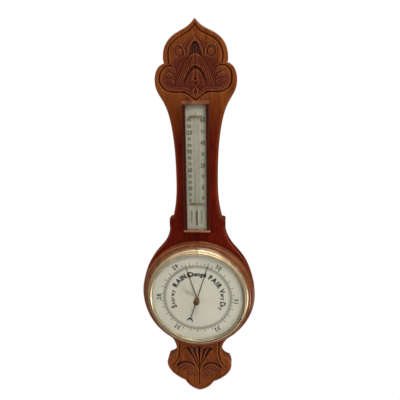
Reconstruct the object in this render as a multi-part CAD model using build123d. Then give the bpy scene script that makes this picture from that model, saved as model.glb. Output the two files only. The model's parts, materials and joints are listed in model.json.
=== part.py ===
"""A carved oak banjo barometer: aneroid movement, boxed thermometer and carved wall case.

Every piece is drawn on the bench: the case lies on its back, x to the right, y towards the crest,
z up out of the board's front face, and the dial's centre is the bench origin. hang() then stands
the piece up in the part's own frame: +Z up, +Y into the wall, origin at the hanging hole in the
back of the crest.
"""

from build123d import *
import math
import os

# ---- Driving dimensions, millimetres ----
DIAL_DROP = 515.0  # from the hanging hole down to the dial's centre
BOARD_T = 22.0  # thickness of the oak board
BODY_R = 123.8  # round body of the board
CASE_HOLE_R = 99.2  # hole through the body and the surround

SURROUND_R = 122.4
LEDGE_Z = 9.0  # ledge in the surround that the movement case's flange rests on
LEDGE_R = 106.7
SEAT_Z = 15.0  # seat of the bezel's foot
RIM_Z = 15.6  # the surround's highest edge, round the bezel's foot
FOOT_R = 110.3

DIAL_R = 103.9
DIAL_Z = 18.0  # printed face of the dial
DIAL_T = 1.5
DIAL_HOLE_R = 1.7
GLASS_Z = 22.0  # back of the dial glass
GLASS_T = 2.6
GLASS_EDGE_T = 1.0
BEVEL_R = 93.0  # where the glass's bevel starts
SIGHT_R = 99.6  # clear opening of the bezel

CASE_R = 98.5
CASE_WALL = 0.8
CASE_FLOOR_Z = -19.6  # inside face of the movement case's floor

HAND_REST = 17.5  # degrees clockwise from the top, as it reads 29.8 inches
SET_HAND_REST = -18.5
HAND_REACH = 83.0
SET_HAND_REACH = 81.0
HAND_Z = 18.8  # underside of the pressure hand
SET_HAND_Z = 20.6  # underside of the set hand
HAND_T = 0.4
HAND_BOSS_R = 2.6
LOZENGE_R = 56.0
TAIL_REACH = 57.0
ARBOR_R = 0.9
ARBOR_TOP = 20.0
SET_SPINDLE_R = 1.5
RUNNING = 0.05  # radial clearance of a shaft in its hole
EASY = 0.15  # radial clearance of a screw or a let-in plate in its hole

BASE_R = 60.0
BASE_TOP = CASE_FLOOR_Z + 2.0  # top of the movement's base plate
CAPSULE_R = 30.5
CAPSULE_MID = -12.0
CAPSULE_HALF = 3.4  # from the capsule's middle to its flat centre
SHEET = 0.35  # capsule metal
SPRING_X = -46.0  # centre of the main spring's bend, which the lever tilts about
SPRING_T = 1.6
BEND_R = 3.2  # inside radius of that bend
SPRING_HALF_W = 12.0
LEG_Z = 1.0  # underside of the spring's upper leg
LEVER_Z = LEG_Z + SPRING_T
LEVER_T = 1.4
LINK_X = 46.0
BAR_X = 42.0  # axis of the rocking bar
BAR_Z = -6.0
CHAIN_Z = 10.0
CHAIN_Y = 1.6  # chain's line, which is the drum's working radius
DRUM_R = 1.3
BRIDGE_Z = 6.5
COCK_Z = 13.0

# thermometer box
RAIL_H = 10.0
BOX_HALF_W = 27.0
BOX_RAIL_W = 6.0
END_RAIL_W = 7.5
BOX_LOW, BOX_HIGH = 150.0, 406.0  # between the end rails
BOX_GLASS_Z = 7.4
BOX_GLASS_T = 2.0
GROOVE_DEPTH = 1.5
PLATE_T = 2.0
TUBE_R = 2.3
TUBE_Z = PLATE_T + 2.4
TUBE_BORE_R = 0.7
BULB_LOW, BULB_HIGH = 158.0, 190.0
BULB_BORE_R = 1.75
COLUMN_GAP = 0.03  # between the liquid and the glass, so that the two are separate solids
PIN_HOLE_R = 0.6
CLIP_YS = (204.5, 382.5)
DEGREE_PITCH = 1.265  # millimetres of scale for one degree Fahrenheit
TEN_DEGREES_Y = 212.5
ROOM_DEGREES = 68.0


# ---- Bench tools ----
def block(x0, x1, y0, y1, z0, z1):
    """A box between two corners."""
    centre = ((x0 + x1) / 2, (y0 + y1) / 2, (z0 + z1) / 2)
    return Pos(*centre) * Box(x1 - x0, y1 - y0, z1 - z0)


def disc(radius, z0, z1, x=0.0, y=0.0):
    """A cylinder standing on the bench."""
    return Pos(x, y, (z0 + z1) / 2) * Cylinder(radius, z1 - z0)


def ring(outer, inner, z0, z1, x=0.0, y=0.0):
    """A disc with a hole through it."""
    return disc(outer, z0, z1, x, y) - disc(inner, z0 - 1, z1 + 1, x, y)


def rod_along_y(radius, x, z, y0, y1):
    """A cylinder lying along y."""
    return Pos(x, (y0 + y1) / 2, z) * Rot(90, 0, 0) * Cylinder(radius, y1 - y0)


def upright(x, z):
    """A point of the XZ plane, for profiles that are turned or run along y."""
    return Vector(x, 0, z)


def turned(*edges):
    """A profile of the XZ plane turned round the dial's axis."""
    return revolve(make_face(Curve() + list(edges)), Axis.Z)


def turned_polygon(*points):
    """A turned solid with straight profile lines, from (radius, height) points."""
    return turned(Polyline(*[upright(*p) for p in points], close=True))


def plan(*points):
    """A flat face in plan from its corners."""
    return make_face(Polyline(*points, close=True))


def slab(face, z0, z1):
    """A face of the plan made into a plate between two heights."""
    return Pos(0, 0, z0) * extrude(face, z1 - z0)


def around(radius, angles):
    """Places on a circle, angles in degrees clockwise from the top."""
    return [(radius * math.sin(math.radians(a)), radius * math.cos(math.radians(a))) for a in angles]


def round_head_screw(x, y, seat_z, head_r, head_h, shank_r, length, out=1):
    """A slotted screw whose head stands on seat_z and whose shank goes the other way."""
    head = disc(head_r, *sorted((seat_z, seat_z + out * head_h)), x, y)
    slot_z = sorted((seat_z + out * head_h * 0.45, seat_z + out * (head_h + 1)))
    slot = block(x - head_r - 1, x + head_r + 1, y - 0.3, y + 0.3, *slot_z)
    return head - slot + disc(shank_r, *sorted((seat_z, seat_z - out * length)), x, y)


def group(solids):
    """Separate solids kept together in one node."""
    return Compound([s.solid() for s in solids])


# ---- Case ----
NECK_TOP = (54.5, 383.7)


def half_outline():
    """The board's right-hand outline, from the crest's point down to the tip of the base."""
    start, stop = 14.0, -52.0
    body = [(BODY_R * math.cos(math.radians(a)), BODY_R * math.sin(math.radians(a)))
            for a in (start, (start + stop) / 2, stop)]
    onto_body = (math.sin(math.radians(start)), -math.cos(math.radians(start)))
    off_body = (math.sin(math.radians(stop)), -math.cos(math.radians(stop)))
    return [
        Spline((0, 567), (12, 554.5), (24, 547.2), (39, 539.5), (54.5, 525.5), (61.6, 511),
               (63.4, 497), tangents=((0.8, -1), (0, -1))),
        ThreePointArc((63.4, 497), (63.1, 491), (61.5, 485.5)),
        Spline((61.5, 485.5), (71.5, 480.2), (79.2, 467.5), (81.5, 453), (77.6, 433.5),
               (66.9, 414.7), NECK_TOP, tangents=((1, -0.25), (-0.25, -1))),
        Spline(NECK_TOP, (46.4, 336), (42.8, 262), (44.8, 210), (51.5, 174.5),
               tangents=((-0.25, -1), (0.25, -1))),
        Line((51.5, 174.5), (56.8, 173.4)),
        ThreePointArc((56.8, 173.4), (58.6, 172.4), (59.1, 170.4)),
        Line((59.1, 170.4), (59.1, 152)),
        Spline((59.1, 152), (63, 134), (73.5, 115.5), (88.8, 97.3), (104.5, 74.5), body[0],
               tangents=((0, -1), onto_body)),
        ThreePointArc(*body),
        Spline(body[2], (60.5, -112.5), (52.2, -131), (53.2, -146.5), (69, -157.5),
               tangents=(off_body, (1, -0.3))),
        Spline((69, -157.5), (74, -174), (66.5, -195.5), (50, -210.5), (33.5, -219),
               tangents=((0.5, -1), (-1, -0.35))),
        ThreePointArc((33.5, -219), (20, -235), (0, -243.5)),
    ]


def board_face():
    half = half_outline()
    return make_face(Curve() + half + [mirror(edge, Plane.YZ) for edge in half])


HANGER_HALF_W, HANGER_R, HANGER_T = 26.0, 9.0, 2.0
HANGER_HOLE_R = 3.5
HANGER_SCREW_X = 18.0
HANGER_WELL_R, HANGER_WELL_Z = 8.0, -10.0  # room behind the plate for the head of the wall's nail
CSK_R, CSK_H, WOOD_SCREW_R, WOOD_SCREW_LENGTH = 3.1, 1.6, 1.5, 12.0


def hanger_blank(margin):
    """The hanger plate's outline with rounded ends, as a plate on the board's back."""
    bar = Pos(0, DIAL_DROP) * SlotOverall(2 * (HANGER_HALF_W + margin), 2 * (HANGER_R + margin))
    return slab(bar, -BOARD_T, -BOARD_T + HANGER_T)


def countersunk_screw(x, y, length, grow=0.0):
    """A wood screw driven from the back, flush with the board's back face."""
    back = -BOARD_T
    head = Pos(x, y, back + CSK_H / 2) * Cone(CSK_R + grow, WOOD_SCREW_R + grow, CSK_H)
    return head + disc(WOOD_SCREW_R + grow, back + CSK_H - 0.01, back + length, x, y)


def make_case():
    board = slab(board_face(), -BOARD_T, 0)
    board -= disc(CASE_HOLE_R, -BOARD_T - 1, 1)
    board -= hanger_blank(EASY)
    board -= disc(HANGER_WELL_R, -BOARD_T - 1, HANGER_WELL_Z, 0, DIAL_DROP)
    hanger = hanger_blank(0) - disc(HANGER_HOLE_R, -BOARD_T - 1, 0, 0, DIAL_DROP)
    screws = []
    for x in (-HANGER_SCREW_X, HANGER_SCREW_X):
        board -= countersunk_screw(x, DIAL_DROP, WOOD_SCREW_LENGTH + 0.3, grow=EASY)
        hanger -= countersunk_screw(x, DIAL_DROP, WOOD_SCREW_LENGTH, grow=0.02)
        screws.append(countersunk_screw(x, DIAL_DROP, WOOD_SCREW_LENGTH))
    screw_end = LEDGE_Z + CASE_FLANGE_T - CASE_SCREW_LENGTH
    for x, y in around(CASE_SCREW_R, CASE_SCREW_ANGLES):
        board -= disc(CASE_SCREW_SHANK_R + EASY, screw_end - 0.3, 1, x, y)
    return {"case_board": board, "hanger_plate": hanger, "hanger_screws": group(screws)}


def make_surround():
    """Turned oak ring: a bead at the foot, an ovolo, a fillet and a slope down to the bezel."""
    bead_top = upright(121.2, 3.2)
    ovolo_low, ovolo_high = upright(120.6, 3.2), upright(117.4, 12.4)
    top_out, top_in = upright(115.6, 13.8), upright(111.6, RIM_Z)
    edges = [
        Polyline(upright(CASE_HOLE_R, 0), upright(SURROUND_R, 0), upright(SURROUND_R, 1.6)),
        ThreePointArc(upright(SURROUND_R, 1.6), upright(122.1, 2.7), bead_top),
        Line(bead_top, ovolo_low),
        ThreePointArc(ovolo_low, upright(119.7, 8.4), ovolo_high),
        Polyline(ovolo_high, upright(117.4, 13.2), upright(116.6, 13.8), top_out),
        ThreePointArc(top_out, upright(113.4, 14.3), top_in),
        Polyline(top_in, upright(FOOT_R + 0.3, RIM_Z), upright(FOOT_R + 0.3, SEAT_Z),
                 upright(LEDGE_R, SEAT_Z), upright(LEDGE_R, LEDGE_Z), upright(CASE_HOLE_R, LEDGE_Z),
                 upright(CASE_HOLE_R, 0)),
    ]
    surround = turned(*edges)
    for x, y in around(CASE_SCREW_R, CASE_SCREW_ANGLES):
        surround -= disc(CASE_SCREW_SHANK_R + EASY, -1, LEDGE_Z + 1, x, y)
    for x, y in around(BEZEL_SCREW_R, BEZEL_SCREW_ANGLES):
        surround -= disc(BEZEL_SCREW_SHANK_R + EASY, LEDGE_Z + 1, SEAT_Z + 1, x, y)
    return {"dial_surround": surround}


# ---- Thermometer box ----
def make_thermometer():
    inner = BOX_HALF_W - BOX_RAIL_W
    groove = (BOX_GLASS_Z - EASY, BOX_GLASS_Z + BOX_GLASS_T + EASY)
    rails = {}
    for name, side in (("left", -1), ("right", 1)):
        x = sorted((side * inner, side * BOX_HALF_W))
        rail = block(*x, BOX_LOW, BOX_HIGH, 0, RAIL_H)
        rail = fillet(rail.edges().filter_by(Axis.Y).sort_by(Axis.Z)[-2:], 1.2)
        slot_x = sorted((side * (inner - 1), side * (inner + GROOVE_DEPTH)))
        rail -= block(*slot_x, BOX_LOW - 1, BOX_HIGH + 1, *groove)
        rails["box_rail_" + name] = rail
    for name, y0, out in (("top", BOX_HIGH, 1), ("bottom", BOX_LOW, -1)):
        steps = [(0, 0), (0, RAIL_H + 0.5), (END_RAIL_W - 3.0, RAIL_H + 0.5), (END_RAIL_W - 1.6, RAIL_H - 1.0),
                 (END_RAIL_W - 1.6, RAIL_H - 3.0), (END_RAIL_W, RAIL_H - 5.0), (END_RAIL_W, 0)]
        face = make_face(Polyline(*[Vector(0, y0 + out * y, z) for y, z in steps], close=True))
        rails["box_rail_" + name] = extrude(face, BOX_HALF_W + 0.6, both=True, dir=(1, 0, 0))
    plate = block(-inner + 0.2, inner - 0.2, BOX_LOW + 0.2, BOX_HIGH - 0.2, 0, PLATE_T)
    glass_x = inner + GROOVE_DEPTH - 0.2
    glass = block(-glass_x, glass_x, BOX_LOW + 0.2, BOX_HIGH - 0.2,
                  BOX_GLASS_Z, BOX_GLASS_Z + BOX_GLASS_T)
    stem_top = BOX_HIGH - 12
    low, high = BULB_LOW + TUBE_R - BULB_BORE_R, BULB_HIGH
    tube = rod_along_y(TUBE_R, 0, TUBE_Z, BULB_LOW + TUBE_R, stem_top)
    tube += Pos(0, BULB_LOW + TUBE_R, TUBE_Z) * Sphere(TUBE_R)
    tube -= bulb_and_stem(BULB_BORE_R, TUBE_BORE_R, low, high, stem_top - 3)
    level = TEN_DEGREES_Y + DEGREE_PITCH * (ROOM_DEGREES - 10)
    column = bulb_and_stem(BULB_BORE_R - COLUMN_GAP, TUBE_BORE_R - COLUMN_GAP, low + COLUMN_GAP,
                           high - COLUMN_GAP, level)
    clips, pins = [], []
    for clip_y in CLIP_YS:
        clip, clip_pins = make_clip(clip_y)
        clips.append(clip)
        for x, y in clip_pins:
            plate -= disc(PIN_HOLE_R, -1, PLATE_T + 1, x, y)
            head = disc(1.1, CLIP_FOOT_Z, CLIP_FOOT_Z + 0.6, x, y)
            pins.append(head + disc(PIN_HOLE_R, 0, CLIP_FOOT_Z, x, y))
    parts = {"thermometer_plate": plate, "thermometer_glass": glass, "thermometer_tube": tube,
             "thermometer_column": column, "tube_clips": group(clips), "clip_pins": group(pins)}
    return {**rails, **parts}


def bulb_and_stem(bulb_r, stem_r, low, high, top):
    """A long round-ended bulb with a stem above it, lying along y at the tube's height."""
    shape = rod_along_y(bulb_r, 0, TUBE_Z, low + bulb_r, high - bulb_r)
    for y in (low + bulb_r, high - bulb_r):
        shape += Pos(0, y, TUBE_Z) * Sphere(bulb_r)
    return shape + rod_along_y(stem_r, 0, TUBE_Z, high - bulb_r, top)


CLIP_HALF_W, CLIP_WAIST, CLIP_END = 16.0, 1.5, 2.8  # half widths of the bow-tie
CLIP_T = 0.5
CLIP_FOOT_Z = PLATE_T + CLIP_T
CLIP_PIN_X = 10.5


def make_clip(y):
    """A bow-tie strap over the tube, flat on the plate at both ends, and the places of its pins."""
    foot_x = 5.6
    crown = TUBE_R + 0.1
    z0 = PLATE_T
    under = TUBE_Z + crown
    section = [(-CLIP_HALF_W, z0), (-foot_x, z0), (-crown, under - 1), (-crown + 1, under),
               (crown - 1, under), (crown, under - 1), (foot_x, z0), (CLIP_HALF_W, z0)]
    lifted = [(x, z + CLIP_T) for x, z in reversed(section)]
    face = make_face(Polyline(*[Vector(x, y, z) for x, z in section + lifted], close=True))
    strap = extrude(face, CLIP_END, both=True, dir=(0, 1, 0))
    shoulder, flare = CLIP_HALF_W - 3, CLIP_HALF_W / 2
    upper = [(-CLIP_HALF_W, 0), (-shoulder, CLIP_END), (-flare, CLIP_END), (0, CLIP_WAIST),
             (flare, CLIP_END), (shoulder, CLIP_END), (CLIP_HALF_W, 0)]
    lower = [(x, -rise) for x, rise in reversed(upper[1:-1])]
    tie = plan(*[(x, y + rise) for x, rise in upper + lower])
    pins = [(-CLIP_PIN_X, y), (CLIP_PIN_X, y)]
    strap = strap & slab(tie, -1, 20)
    for x, _ in pins:
        strap -= disc(PIN_HOLE_R + RUNNING, -1, BOX_GLASS_Z, x, y)
    return strap, pins


# ---- Dial, glass and bezel ----
CASE_SCREW_R, CASE_SCREW_ANGLES = 101.5, (45, 135, 225, 315)
CASE_SCREW_SHANK_R, CASE_SCREW_LENGTH = 1.1, 18.0
CASE_FLANGE_T = 1.0
BEZEL_SCREW_R, BEZEL_SCREW_ANGLES = 108.5, (0, 120, 240)
BEZEL_SCREW_SHANK_R, BEZEL_SCREW_HEAD_R = 0.9, 1.7
BASE_SCREW_R, BASE_SCREW_ANGLES = 54.0, (0, 120, 240)
BASE_SCREW_SHANK_R = 1.4
ADJUST_X = -41.0  # the adjusting screw, under the foot of the main spring
ADJUST_R, ADJUST_HEAD_R = 1.9, 3.2
BUSH_R, BUSH_FLANGE_R = 3.1, 4.8
BUSH_TOP = GLASS_Z + GLASS_T + 1.4
NUT_Z = GLASS_Z - 0.65


def make_movement_case():
    floor_out = CASE_FLOOR_Z - CASE_WALL
    inside = CASE_R - CASE_WALL
    flange = LEDGE_Z + CASE_FLANGE_T
    pan = turned_polygon((0, floor_out), (CASE_R, floor_out), (CASE_R, LEDGE_Z), (DIAL_R, LEDGE_Z),
                         (DIAL_R, flange), (inside, flange), (inside, CASE_FLOOR_Z), (0, CASE_FLOOR_Z))
    screws = []
    for x, y in around(CASE_SCREW_R, CASE_SCREW_ANGLES):
        pan -= disc(CASE_SCREW_SHANK_R + EASY, 0, flange + 1, x, y)
        screws.append(round_head_screw(x, y, flange, 1.9, 1.2, CASE_SCREW_SHANK_R, CASE_SCREW_LENGTH))
    for x, y in around(BASE_SCREW_R, BASE_SCREW_ANGLES):
        pan -= disc(BASE_SCREW_SHANK_R + EASY, floor_out - 1, CASE_FLOOR_Z + 1, x, y)
    pan -= disc(ADJUST_HEAD_R + 0.6, floor_out - 1, CASE_FLOOR_Z + 1, ADJUST_X)
    return {"movement_case": pan, "case_screws": group(screws)}


def make_dial():
    seat = ring(DIAL_R, CASE_R, LEDGE_Z + CASE_FLANGE_T, DIAL_Z - DIAL_T)
    for x, y in around(CASE_SCREW_R, CASE_SCREW_ANGLES):
        seat -= disc(2.2, LEDGE_Z, LEDGE_Z + 2.6, x, y)
    dial = ring(DIAL_R, DIAL_HOLE_R, DIAL_Z - DIAL_T, DIAL_Z)
    sight = ring(DIAL_R, 101.0, DIAL_Z, GLASS_Z)
    front = GLASS_Z + GLASS_T
    glass = turned_polygon((BUSH_R, GLASS_Z), (DIAL_R, GLASS_Z), (DIAL_R, GLASS_Z + GLASS_EDGE_T),
                           (BEVEL_R, front), (BUSH_R, front))
    return {"dial_seat_ring": seat, "dial_plate": dial, "sight_ring": sight, "dial_glass": glass}


def make_bezel():
    """Spun brass bezel: foot flange, concave neck, rolled front bead and a lip over the glass."""
    inner, neck = 104.3, 105.6
    spigot_r, spigot_low = LEDGE_R - 0.3, 11.2
    seat = SEAT_Z + 1.2
    lip_low, lip_root = GLASS_Z + 1.8, GLASS_Z + 1.1
    edges = [
        Polyline(upright(SIGHT_R, lip_low), upright(inner, lip_root), upright(inner, spigot_low),
                 upright(spigot_r, spigot_low), upright(spigot_r, SEAT_Z), upright(FOOT_R, SEAT_Z),
                 upright(FOOT_R, seat), upright(108.9, seat)),
        ThreePointArc(upright(108.9, seat), upright(106.6, SEAT_Z + 2.6), upright(neck, SEAT_Z + 5.6)),
        Line(upright(neck, SEAT_Z + 5.6), upright(neck, 23.4)),
        ThreePointArc(upright(neck, 23.4), upright(104.8, 25.3), upright(103.0, 26.0)),
        ThreePointArc(upright(103.0, 26.0), upright(101.2, 25.4), upright(SIGHT_R, 24.6)),
        Line(upright(SIGHT_R, 24.6), upright(SIGHT_R, lip_low)),
    ]
    bezel = turned(*edges)
    screws = []
    for x, y in around(BEZEL_SCREW_R, BEZEL_SCREW_ANGLES):
        bezel -= disc(BEZEL_SCREW_HEAD_R + EASY, seat, GLASS_Z, x, y)
        bezel -= disc(BEZEL_SCREW_SHANK_R + EASY, SEAT_Z - 1, seat + 1, x, y)
        screws.append(round_head_screw(x, y, seat, BEZEL_SCREW_HEAD_R, 0.9, BEZEL_SCREW_SHANK_R, 6))
    return {"bezel": bezel, "bezel_screws": group(screws)}


# ---- Set hand ----
KNOB_R, KNOB_LOW, KNOB_HIGH, KNOB_TOP = 6.4, 33.5, 42.0, 43.5
STEM_R = 2.6
KNOB_RIBS = 20
KNOB_FLUTE_R = 0.6
SPINDLE_TOP = 37.0


def make_set_hand():
    bush = ring(BUSH_R, SET_SPINDLE_R + RUNNING, NUT_Z, GLASS_Z + GLASS_T)
    bush += ring(BUSH_FLANGE_R, SET_SPINDLE_R + RUNNING, GLASS_Z + GLASS_T, BUSH_TOP)
    nut = ring(5.0, BUSH_R, NUT_Z, GLASS_Z)
    washer = ring(4.6, SET_SPINDLE_R + RUNNING, BUSH_TOP + 0.05, BUSH_TOP + 0.6)
    spindle = disc(SET_SPINDLE_R, SET_HAND_Z - 0.2, SPINDLE_TOP)
    base = BUSH_TOP + 0.6
    knob = turned_polygon((0, base), (3.6, base), (3.6, base + 1.2), (STEM_R, base + 2.4),
                          (STEM_R, KNOB_LOW - 0.8), (KNOB_R - 0.8, KNOB_LOW), (KNOB_R, KNOB_LOW + 0.8),
                          (KNOB_R, KNOB_HIGH - 0.6), (KNOB_R - 0.8, KNOB_HIGH),
                          (KNOB_R / 2, KNOB_TOP - 0.3), (0, KNOB_TOP))
    knob -= disc(SET_SPINDLE_R, base - 1, SPINDLE_TOP)
    for x, y in around(KNOB_R + 0.25, [360 * k / KNOB_RIBS for k in range(KNOB_RIBS)]):
        knob -= disc(KNOB_FLUTE_R, KNOB_LOW - 3, KNOB_TOP + 2, x, y)
    hand_top = SET_HAND_Z + HAND_T
    hand = hand_blade(SET_HAND_Z, hand_top, SET_HAND_REACH)
    hand += disc(HAND_BOSS_R, SET_HAND_Z - 0.2, hand_top + 0.2)
    hand += slab(plan((-1.1, 0), (1.1, 0), (0.7, -8), (-0.7, -8)), SET_HAND_Z, hand_top)
    hand = Rot(0, 0, -SET_HAND_REST) * (hand - disc(SET_SPINDLE_R, 20, 22))
    return {"glass_bush": bush, "bush_nut": nut, "friction_washer": washer, "set_spindle": spindle,
            "set_knob": knob, "set_hand": hand}


def hand_blade(z0, z1, reach):
    """A tapered blade pointing to the top, with a lozenge on it."""
    blade = plan((-1.0, 0), (1.0, 0), (0.45, reach - 1.5), (0, reach), (-0.45, reach - 1.5))
    lozenge = plan((0, LOZENGE_R - 6.5), (3.6, LOZENGE_R - 2.2), (0, LOZENGE_R + 6.5),
                   (-3.6, LOZENGE_R - 2.2))
    return slab(blade + lozenge, z0, z1)


def make_pressure_hand():
    z0, z1 = HAND_Z, HAND_Z + HAND_T
    tail = plan((-0.9, 0), (0.9, 0), (0.6, 6.2 - TAIL_REACH), (-0.6, 6.2 - TAIL_REACH))
    moon = Pos(0, -TAIL_REACH) * (Circle(6.6) - Pos(0, -2.6) * Circle(5.9))
    hand = hand_blade(z0, z1, HAND_REACH) + slab(tail + moon, z0, z1)
    hand += disc(HAND_BOSS_R, z0 - 0.5, z1 + 0.7)
    hand -= disc(ARBOR_R, 18, 20)
    return {"pressure_hand": Rot(0, 0, -HAND_REST) * hand}


# ---- Aneroid movement ----
def make_base():
    base = disc(BASE_R, CASE_FLOOR_Z, BASE_TOP)
    screws = []
    for x, y in around(BASE_SCREW_R, BASE_SCREW_ANGLES):
        base -= disc(BASE_SCREW_SHANK_R + EASY, CASE_FLOOR_Z - 1, BASE_TOP + 1, x, y)
        back = CASE_FLOOR_Z - CASE_WALL
        screws.append(round_head_screw(x, y, back, 2.8, 1.2, BASE_SCREW_SHANK_R, 4, out=-1))
    base -= disc(ADJUST_R + RUNNING, CASE_FLOOR_Z - 1, BASE_TOP + 1, ADJUST_X)
    head_low, head_high = -21.5, CASE_FLOOR_Z - 0.15
    adjuster = disc(ADJUST_HEAD_R, head_low, head_high, ADJUST_X)
    adjuster += disc(ADJUST_R, head_high, CARRIAGE_ARCH - 0.3, ADJUST_X)
    adjuster -= block(ADJUST_X - 4, ADJUST_X + 4, -0.4, 0.4, head_low - 1, head_low + 0.9)
    return {"base_plate": base, "base_screws": group(screws), "adjusting_screw": adjuster}


def diaphragm(side):
    """Half of the vacuum capsule: a flat centre, ring corrugations and a soldered rim."""
    wave = [(r, 2.5 + 0.5 * (k % 2)) for k, r in enumerate(range(9, 27, 2))]
    inside = [(0, CAPSULE_HALF), (7, CAPSULE_HALF)] + wave + [(27.5, 0)]
    outside = [(r, h + SHEET) for r, h in inside[:-1]]
    outside += [(28.2, SHEET), (CAPSULE_R, SHEET), (CAPSULE_R, 0)]
    loop = outside + list(reversed(inside))
    return turned_polygon(*[(r, CAPSULE_MID + side * h) for r, h in loop])


def make_capsule():
    low, high = CAPSULE_MID - CAPSULE_HALF - SHEET, CAPSULE_MID + CAPSULE_HALF + SHEET
    stud = disc(6.0, BASE_TOP, low)
    post = disc(5.0, high, high + 1.0) + disc(2.5, high + 1.0, 5.2)
    pin_z = LEVER_Z + 0.85
    post -= rod_along_y(0.8, 0, pin_z, -5, 5)
    pin = rod_along_y(0.8, 0, pin_z, -7, 7)
    return {"capsule_stud": stud, "capsule_lower": diaphragm(-1), "capsule_upper": diaphragm(1),
            "capsule_post": post, "post_pin": pin}


CARRIAGE_X = (-46.0, -36.0)
CARRIAGE_HALF_Y = 13.0
CARRIAGE_ARCH = -10.0
SPRING_FOOT_Z = LEG_Z - 2 * BEND_R - SPRING_T  # top of the carriage
SPRING_SCREW_R = 1.2


def make_spring():
    x0, x1 = CARRIAGE_X
    mid_z = LEG_Z - BEND_R
    outer = BEND_R + SPRING_T
    tip = 8.0
    carriage = block(x0, x1, -CARRIAGE_HALF_Y, CARRIAGE_HALF_Y, BASE_TOP, SPRING_FOOT_Z)
    carriage -= block(x0 - 1, x1 + 1, -6, 6, BASE_TOP - 1, CARRIAGE_ARCH)
    clamp = block(x0 + 1, x1, -11, 11, SPRING_FOOT_Z + SPRING_T, SPRING_FOOT_Z + SPRING_T + 1.2)
    edges = [
        Line(upright(x1, SPRING_FOOT_Z), upright(SPRING_X, SPRING_FOOT_Z)),
        ThreePointArc(upright(SPRING_X, SPRING_FOOT_Z), upright(SPRING_X - outer, mid_z),
                      upright(SPRING_X, LEVER_Z)),
        Polyline(upright(SPRING_X, LEVER_Z), upright(tip, LEVER_Z), upright(tip, LEG_Z),
                 upright(SPRING_X, LEG_Z)),
        ThreePointArc(upright(SPRING_X, LEG_Z), upright(SPRING_X - BEND_R, mid_z),
                      upright(SPRING_X, SPRING_FOOT_Z + SPRING_T)),
        Polyline(upright(SPRING_X, SPRING_FOOT_Z + SPRING_T), upright(x1, SPRING_FOOT_Z + SPRING_T),
                 upright(x1, SPRING_FOOT_Z)),
    ]
    spring = extrude(make_face(Curve() + edges), SPRING_HALF_W, both=True, dir=(0, 1, 0))
    side = [(-60, SPRING_HALF_W), (-32, SPRING_HALF_W), (0, 7), (tip + 1, 5)]
    taper = plan(*[(x, -y) for x, y in side], *reversed(side))
    spring &= slab(taper, -30, 30)
    spring -= disc(3.3, 0, 4)
    screws = []
    for y in (-7, 7):
        x = (x0 + x1) / 2 + 1
        hole = disc(SPRING_SCREW_R + EASY, -14, -3, x, y)
        carriage -= hole
        spring -= hole
        clamp -= hole
        screws.append(round_head_screw(x, y, SPRING_FOOT_Z + SPRING_T + 1.2, 2.2, 1.0, SPRING_SCREW_R, 7))
    lever, lever_screws = make_lever()
    for x in LEVER_SCREW_X:
        spring -= disc(SMALL_SCREW_R + EASY, LEG_Z - 1, LEVER_Z + 1, x)
    return {"spring_carriage": carriage, "spring_clamp": clamp, "main_spring": spring,
            "spring_screws": group(screws), "main_lever": lever, "lever_screws": lever_screws}


LEVER_SCREW_X = (-28.0, -22.0)
SMALL_SCREW_R = 1.0  # shanks of the movement's small screws
LINK_PIN_R = 0.6
PIVOT_R = 0.8  # the rocking bar's pivots


def make_lever():
    """The long lever: screwed to the spring, open round the post, drawn out to the link."""
    top = LEVER_Z + LEVER_T
    heel = plan((-32, -4), (-8, -4), (-8, 4), (-32, 4))
    arm = plan((8.5, -2.6), (8.5, 2.6), (LINK_X + 1.6, 1.5), (LINK_X + 1.6, -1.5))
    lever = slab(heel + arm + Circle(10.2) - Circle(7.8), LEVER_Z, top)
    for x in LEVER_SCREW_X:
        lever -= disc(SMALL_SCREW_R + EASY, LEVER_Z - 1, top + 1, x)
    lever += rod_along_y(LINK_PIN_R, LINK_X, LEVER_Z + LEVER_T / 2, 1.0, 3.0)
    screws = [round_head_screw(x, 0, top, 2.0, 1.0, SMALL_SCREW_R, 3) for x in LEVER_SCREW_X]
    return lever, group(screws)


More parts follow.
